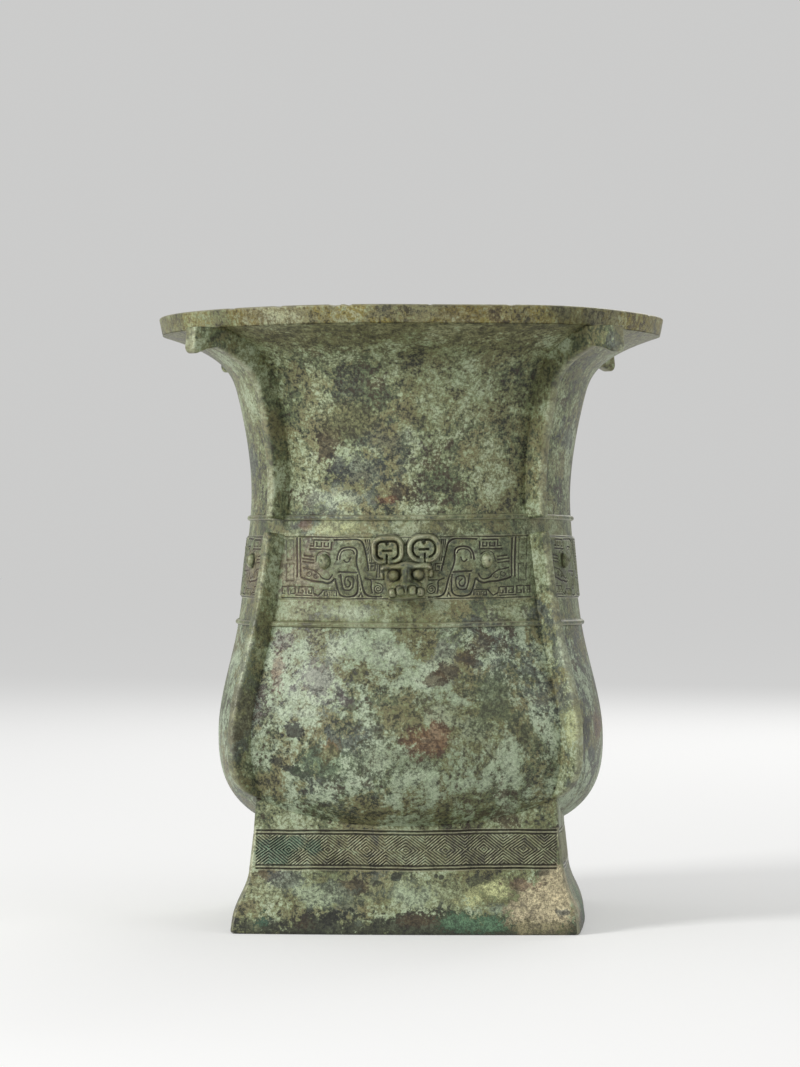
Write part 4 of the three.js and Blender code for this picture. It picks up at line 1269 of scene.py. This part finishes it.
def animalHead(quarter):
    x, z = np.meshgrid(spaced(*head["across"], head["step"]), spaced(*head["levels"], head["step"]))
    depth = headDepth(x - head["shift"] + head["tilt"] * z, z - head["tilt"] * x)
    for _ in range(2):
        soft = depth.copy()
        beside = depth[:-2, 1:-1] + depth[2:, 1:-1] + depth[1:-1, :-2] + depth[1:-1, 2:]
        soft[1:-1, 1:-1] = (depth[1:-1, 1:-1] * 2 + beside) / 6
        depth = soft
    level, rise = form["bandMiddle"] + z, band["bandRise"]
    wall = outAt(x, outerCorner(level) + rise, outerFace(level) + rise)
    front = np.stack([x, -(wall + depth), level], -1)
    back = np.stack([x, -(wall - head["back"]), level], -1)
    places = np.concatenate([back[:1], front, back[-1:]])
    # broad painted shade in the head's hollows, with earth; its high parts lighter, with wear and painted
    # highlight
    hollow = hollowness(depth, *head["shade"])
    return turned(places, quarter), np.concatenate([hollow[:1], hollow, hollow[-1:]])


for quarter, side in ((0, "front"), (2, "back")):
    places, hollow = animalHead(quarter)
    piece = gridPiece("animal_head_" + side, places, hollow)
    dress(piece, maskFinish, "ornament_bronze", "animal_mask_" + side)
print("heads made")


# Dragon eyes: rounded bosses with a shallow pupil, leaning away from the head
boss = {
    "halfWidth": 2.4,
    "halfHeight": 3.3,
    "depth": 2.9,
    "stand": 0.9,
    "lean": 0.42,
    "across": 33.8,
    "level": 155.1,
    "pupil": 0.6,
    "pupilAt": (0.3, 0.2),
    "pupilSize": (0.55, 0.8),
}


def dragonBoss(quarter, sign):
    v, w = np.meshgrid(np.linspace(0, 2 * pi, 49), np.linspace(0.02, pi, 30))
    x = boss["halfWidth"] * np.sin(w) * np.cos(v)
    up = boss["halfHeight"] * np.sin(w) * np.sin(v) * (1 - 0.08 * np.cos(v))
    (px, pz), (halfX, halfZ) = boss["pupilAt"], boss["pupilSize"]
    near = ((x - px * sign) / halfX) ** 2 + ((up - pz) / halfZ) ** 2
    pupil = boss["pupil"] * np.exp(-near) * (w < pi / 2)
    d = boss["depth"] * np.cos(w) - pupil
    across, level, rise = sign * boss["across"] + x, boss["level"], band["bandRise"]
    wall = outAt(across, outerCorner(level) + rise, outerFace(level) + rise)
    places = np.stack([across + boss["lean"] * sign * d, -(wall + boss["stand"] * d), level + up], -1)
    # painted highlight with wear on the boss's top, painted shade with earth at its foot and in the pupil
    hollow = np.clip(0.5 * np.cos(w) - 0.9 * (w > 1.35) - 2.2 * pupil, -1, 1)
    return turned(places, quarter), hollow


for quarter, side in enumerate(sides):
    for mark, sign in (("a", -1), ("b", 1)):
        places, hollow = dragonBoss(quarter, sign)
        piece = gridPiece("dragon_boss_%s_%s" % (side, mark), places, hollow)
        dress(piece, maskFinish, "ornament_bronze", "dragon_eye_%s_%s" % (side, mark))


def wallSpacer(quarter):
    a, b = np.meshgrid(*(np.linspace(-1, 1, spacer["rows"]),) * 2)
    uneven = 1 + 0.07 * np.sin(3 * a + 2 * b + quarter) + 0.05 * np.sin(5 * b - quarter)
    x = spacer["across"] + spacer["half"] * a * uneven * (1 - 0.09 * b ** 2)
    z = spacer["level"] + spacer["half"] * b * uneven * (1 - 0.09 * a ** 2)
    wall = outAt(x, outerCorner(z), outerFace(z))
    rim = np.maximum(np.abs(a), np.abs(b)) > 0.97
    front = np.stack([x, -(wall + spacer["proud"] - spacer["edge"] * rim), z], -1)
    back = np.stack([x, -(wall - spacer["back"]), z], -1)
    return turned(np.concatenate([back[:1], front, back[-1:]]), quarter)


for quarter, side in enumerate(sides):
    piece = gridPiece("wall_spacer_plate_" + side, wallSpacer(quarter), 0.0)
    dress(piece, bellyFinish, "spacer_bronze", "wall_spacer_" + side)
print("eyes and spacers made")


# Stage, light and camera
stage = {
    "floor": (0.8, 0.8, 0.79, 1.0),
    "lift": (0.2, 0.2, 0.2, 1.0),
    "sky": (0.5, 0.5, 0.5, 1.0),
    "shown": (0.6, 0.6, 0.595, 1.0),
    "distance": 1.569,
    "eyeHeight": 0.1667,
    "bearing": 2.0,
    "pan": 0.175,
    "lens": 121.5,
    "sensor": 36,
    "floorRadius": 12.0,
}
bm = bmesh.new()
bmesh.ops.create_circle(bm, cap_ends=True, segments=96, radius=stage["floorRadius"])
floorMesh = bpy.data.meshes.new("studio_floor")
bm.to_mesh(floorMesh)
bm.free()
floor = bpy.data.objects.new("studio_floor", floorMesh)
bpy.context.collection.objects.link(floor)
floorFinish = Finish(bpy.data.materials.new("floor_paper"))
lift = floorFinish.mix(floorFinish.shown(), (0, 0, 0, 1), stage["lift"])
paper = floorFinish.node("BsdfPrincipled", {}, {
    "Base Color": stage["floor"], "Roughness": 1.0, "Specular IOR Level": 0.0,
    "Emission Color": lift, "Emission Strength": 1.0})
floorFinish.node("OutputMaterial", {}, {"Surface": paper})
floor.data.materials.append(floorFinish.owner)

# The sky lights evenly; seen directly it is as pale as the far floor
world = bpy.data.worlds.new("soft_sky")
bpy.context.scene.world = world
sky = Finish(world)
glow = sky.node("Background", {}, {"Color": sky.mix(sky.shown(), stage["sky"], stage["shown"])})
sky.node("OutputWorld", {}, {"Surface": glow})


# Softboxes: place and target in metres, width and height, watts
lamps = {
    "key_light": ((-1.5, -1.2, 1.0), (0, 0, 0.13), (0.6, 0.6), 27),
    "fill_light": ((1.6, -1.0, 0.7), (0, 0, 0.13), (1.2, 1.2), 4),
    "back_light": ((0.5, 1.5, 1.2), (0, 0, 0.15), (1.0, 1.0), 8),
}


def softbox(name, place, target, size, watts):
    lamp = bpy.data.lights.new(name, "AREA")
    lamp.shape = "RECTANGLE"
    lamp.size, lamp.size_y = size
    lamp.energy = watts
    holder = bpy.data.objects.new(name, lamp)
    aim = (Vector(target) - Vector(place)).to_track_quat("-Z", "Y")
    holder.matrix_world = Matrix.Translation(place) @ aim.to_matrix().to_4x4()
    bpy.context.collection.objects.link(holder)


for name, lamp in lamps.items():
    softbox(name, *lamp)

camera = bpy.data.objects.new("camera", bpy.data.cameras.new("camera"))
camera.data.lens = stage["lens"]
camera.data.sensor_width = stage["sensor"]
bearing = radians(stage["bearing"])
eyePlace = Vector((np.sin(bearing), -np.cos(bearing), 0)) * stage["distance"]
eyePlace.z = stage["eyeHeight"]
turn = Matrix.Rotation(bearing + radians(stage["pan"]), 4, "Z") @ Matrix.Rotation(pi / 2, 4, "X")
camera.matrix_world = Matrix.Translation(eyePlace) @ turn
camera.data.clip_start = 0.05
bpy.context.collection.objects.link(camera)
bpy.context.scene.camera = camera
bpy.context.scene.view_settings.view_transform = "Standard"
print("stage set")
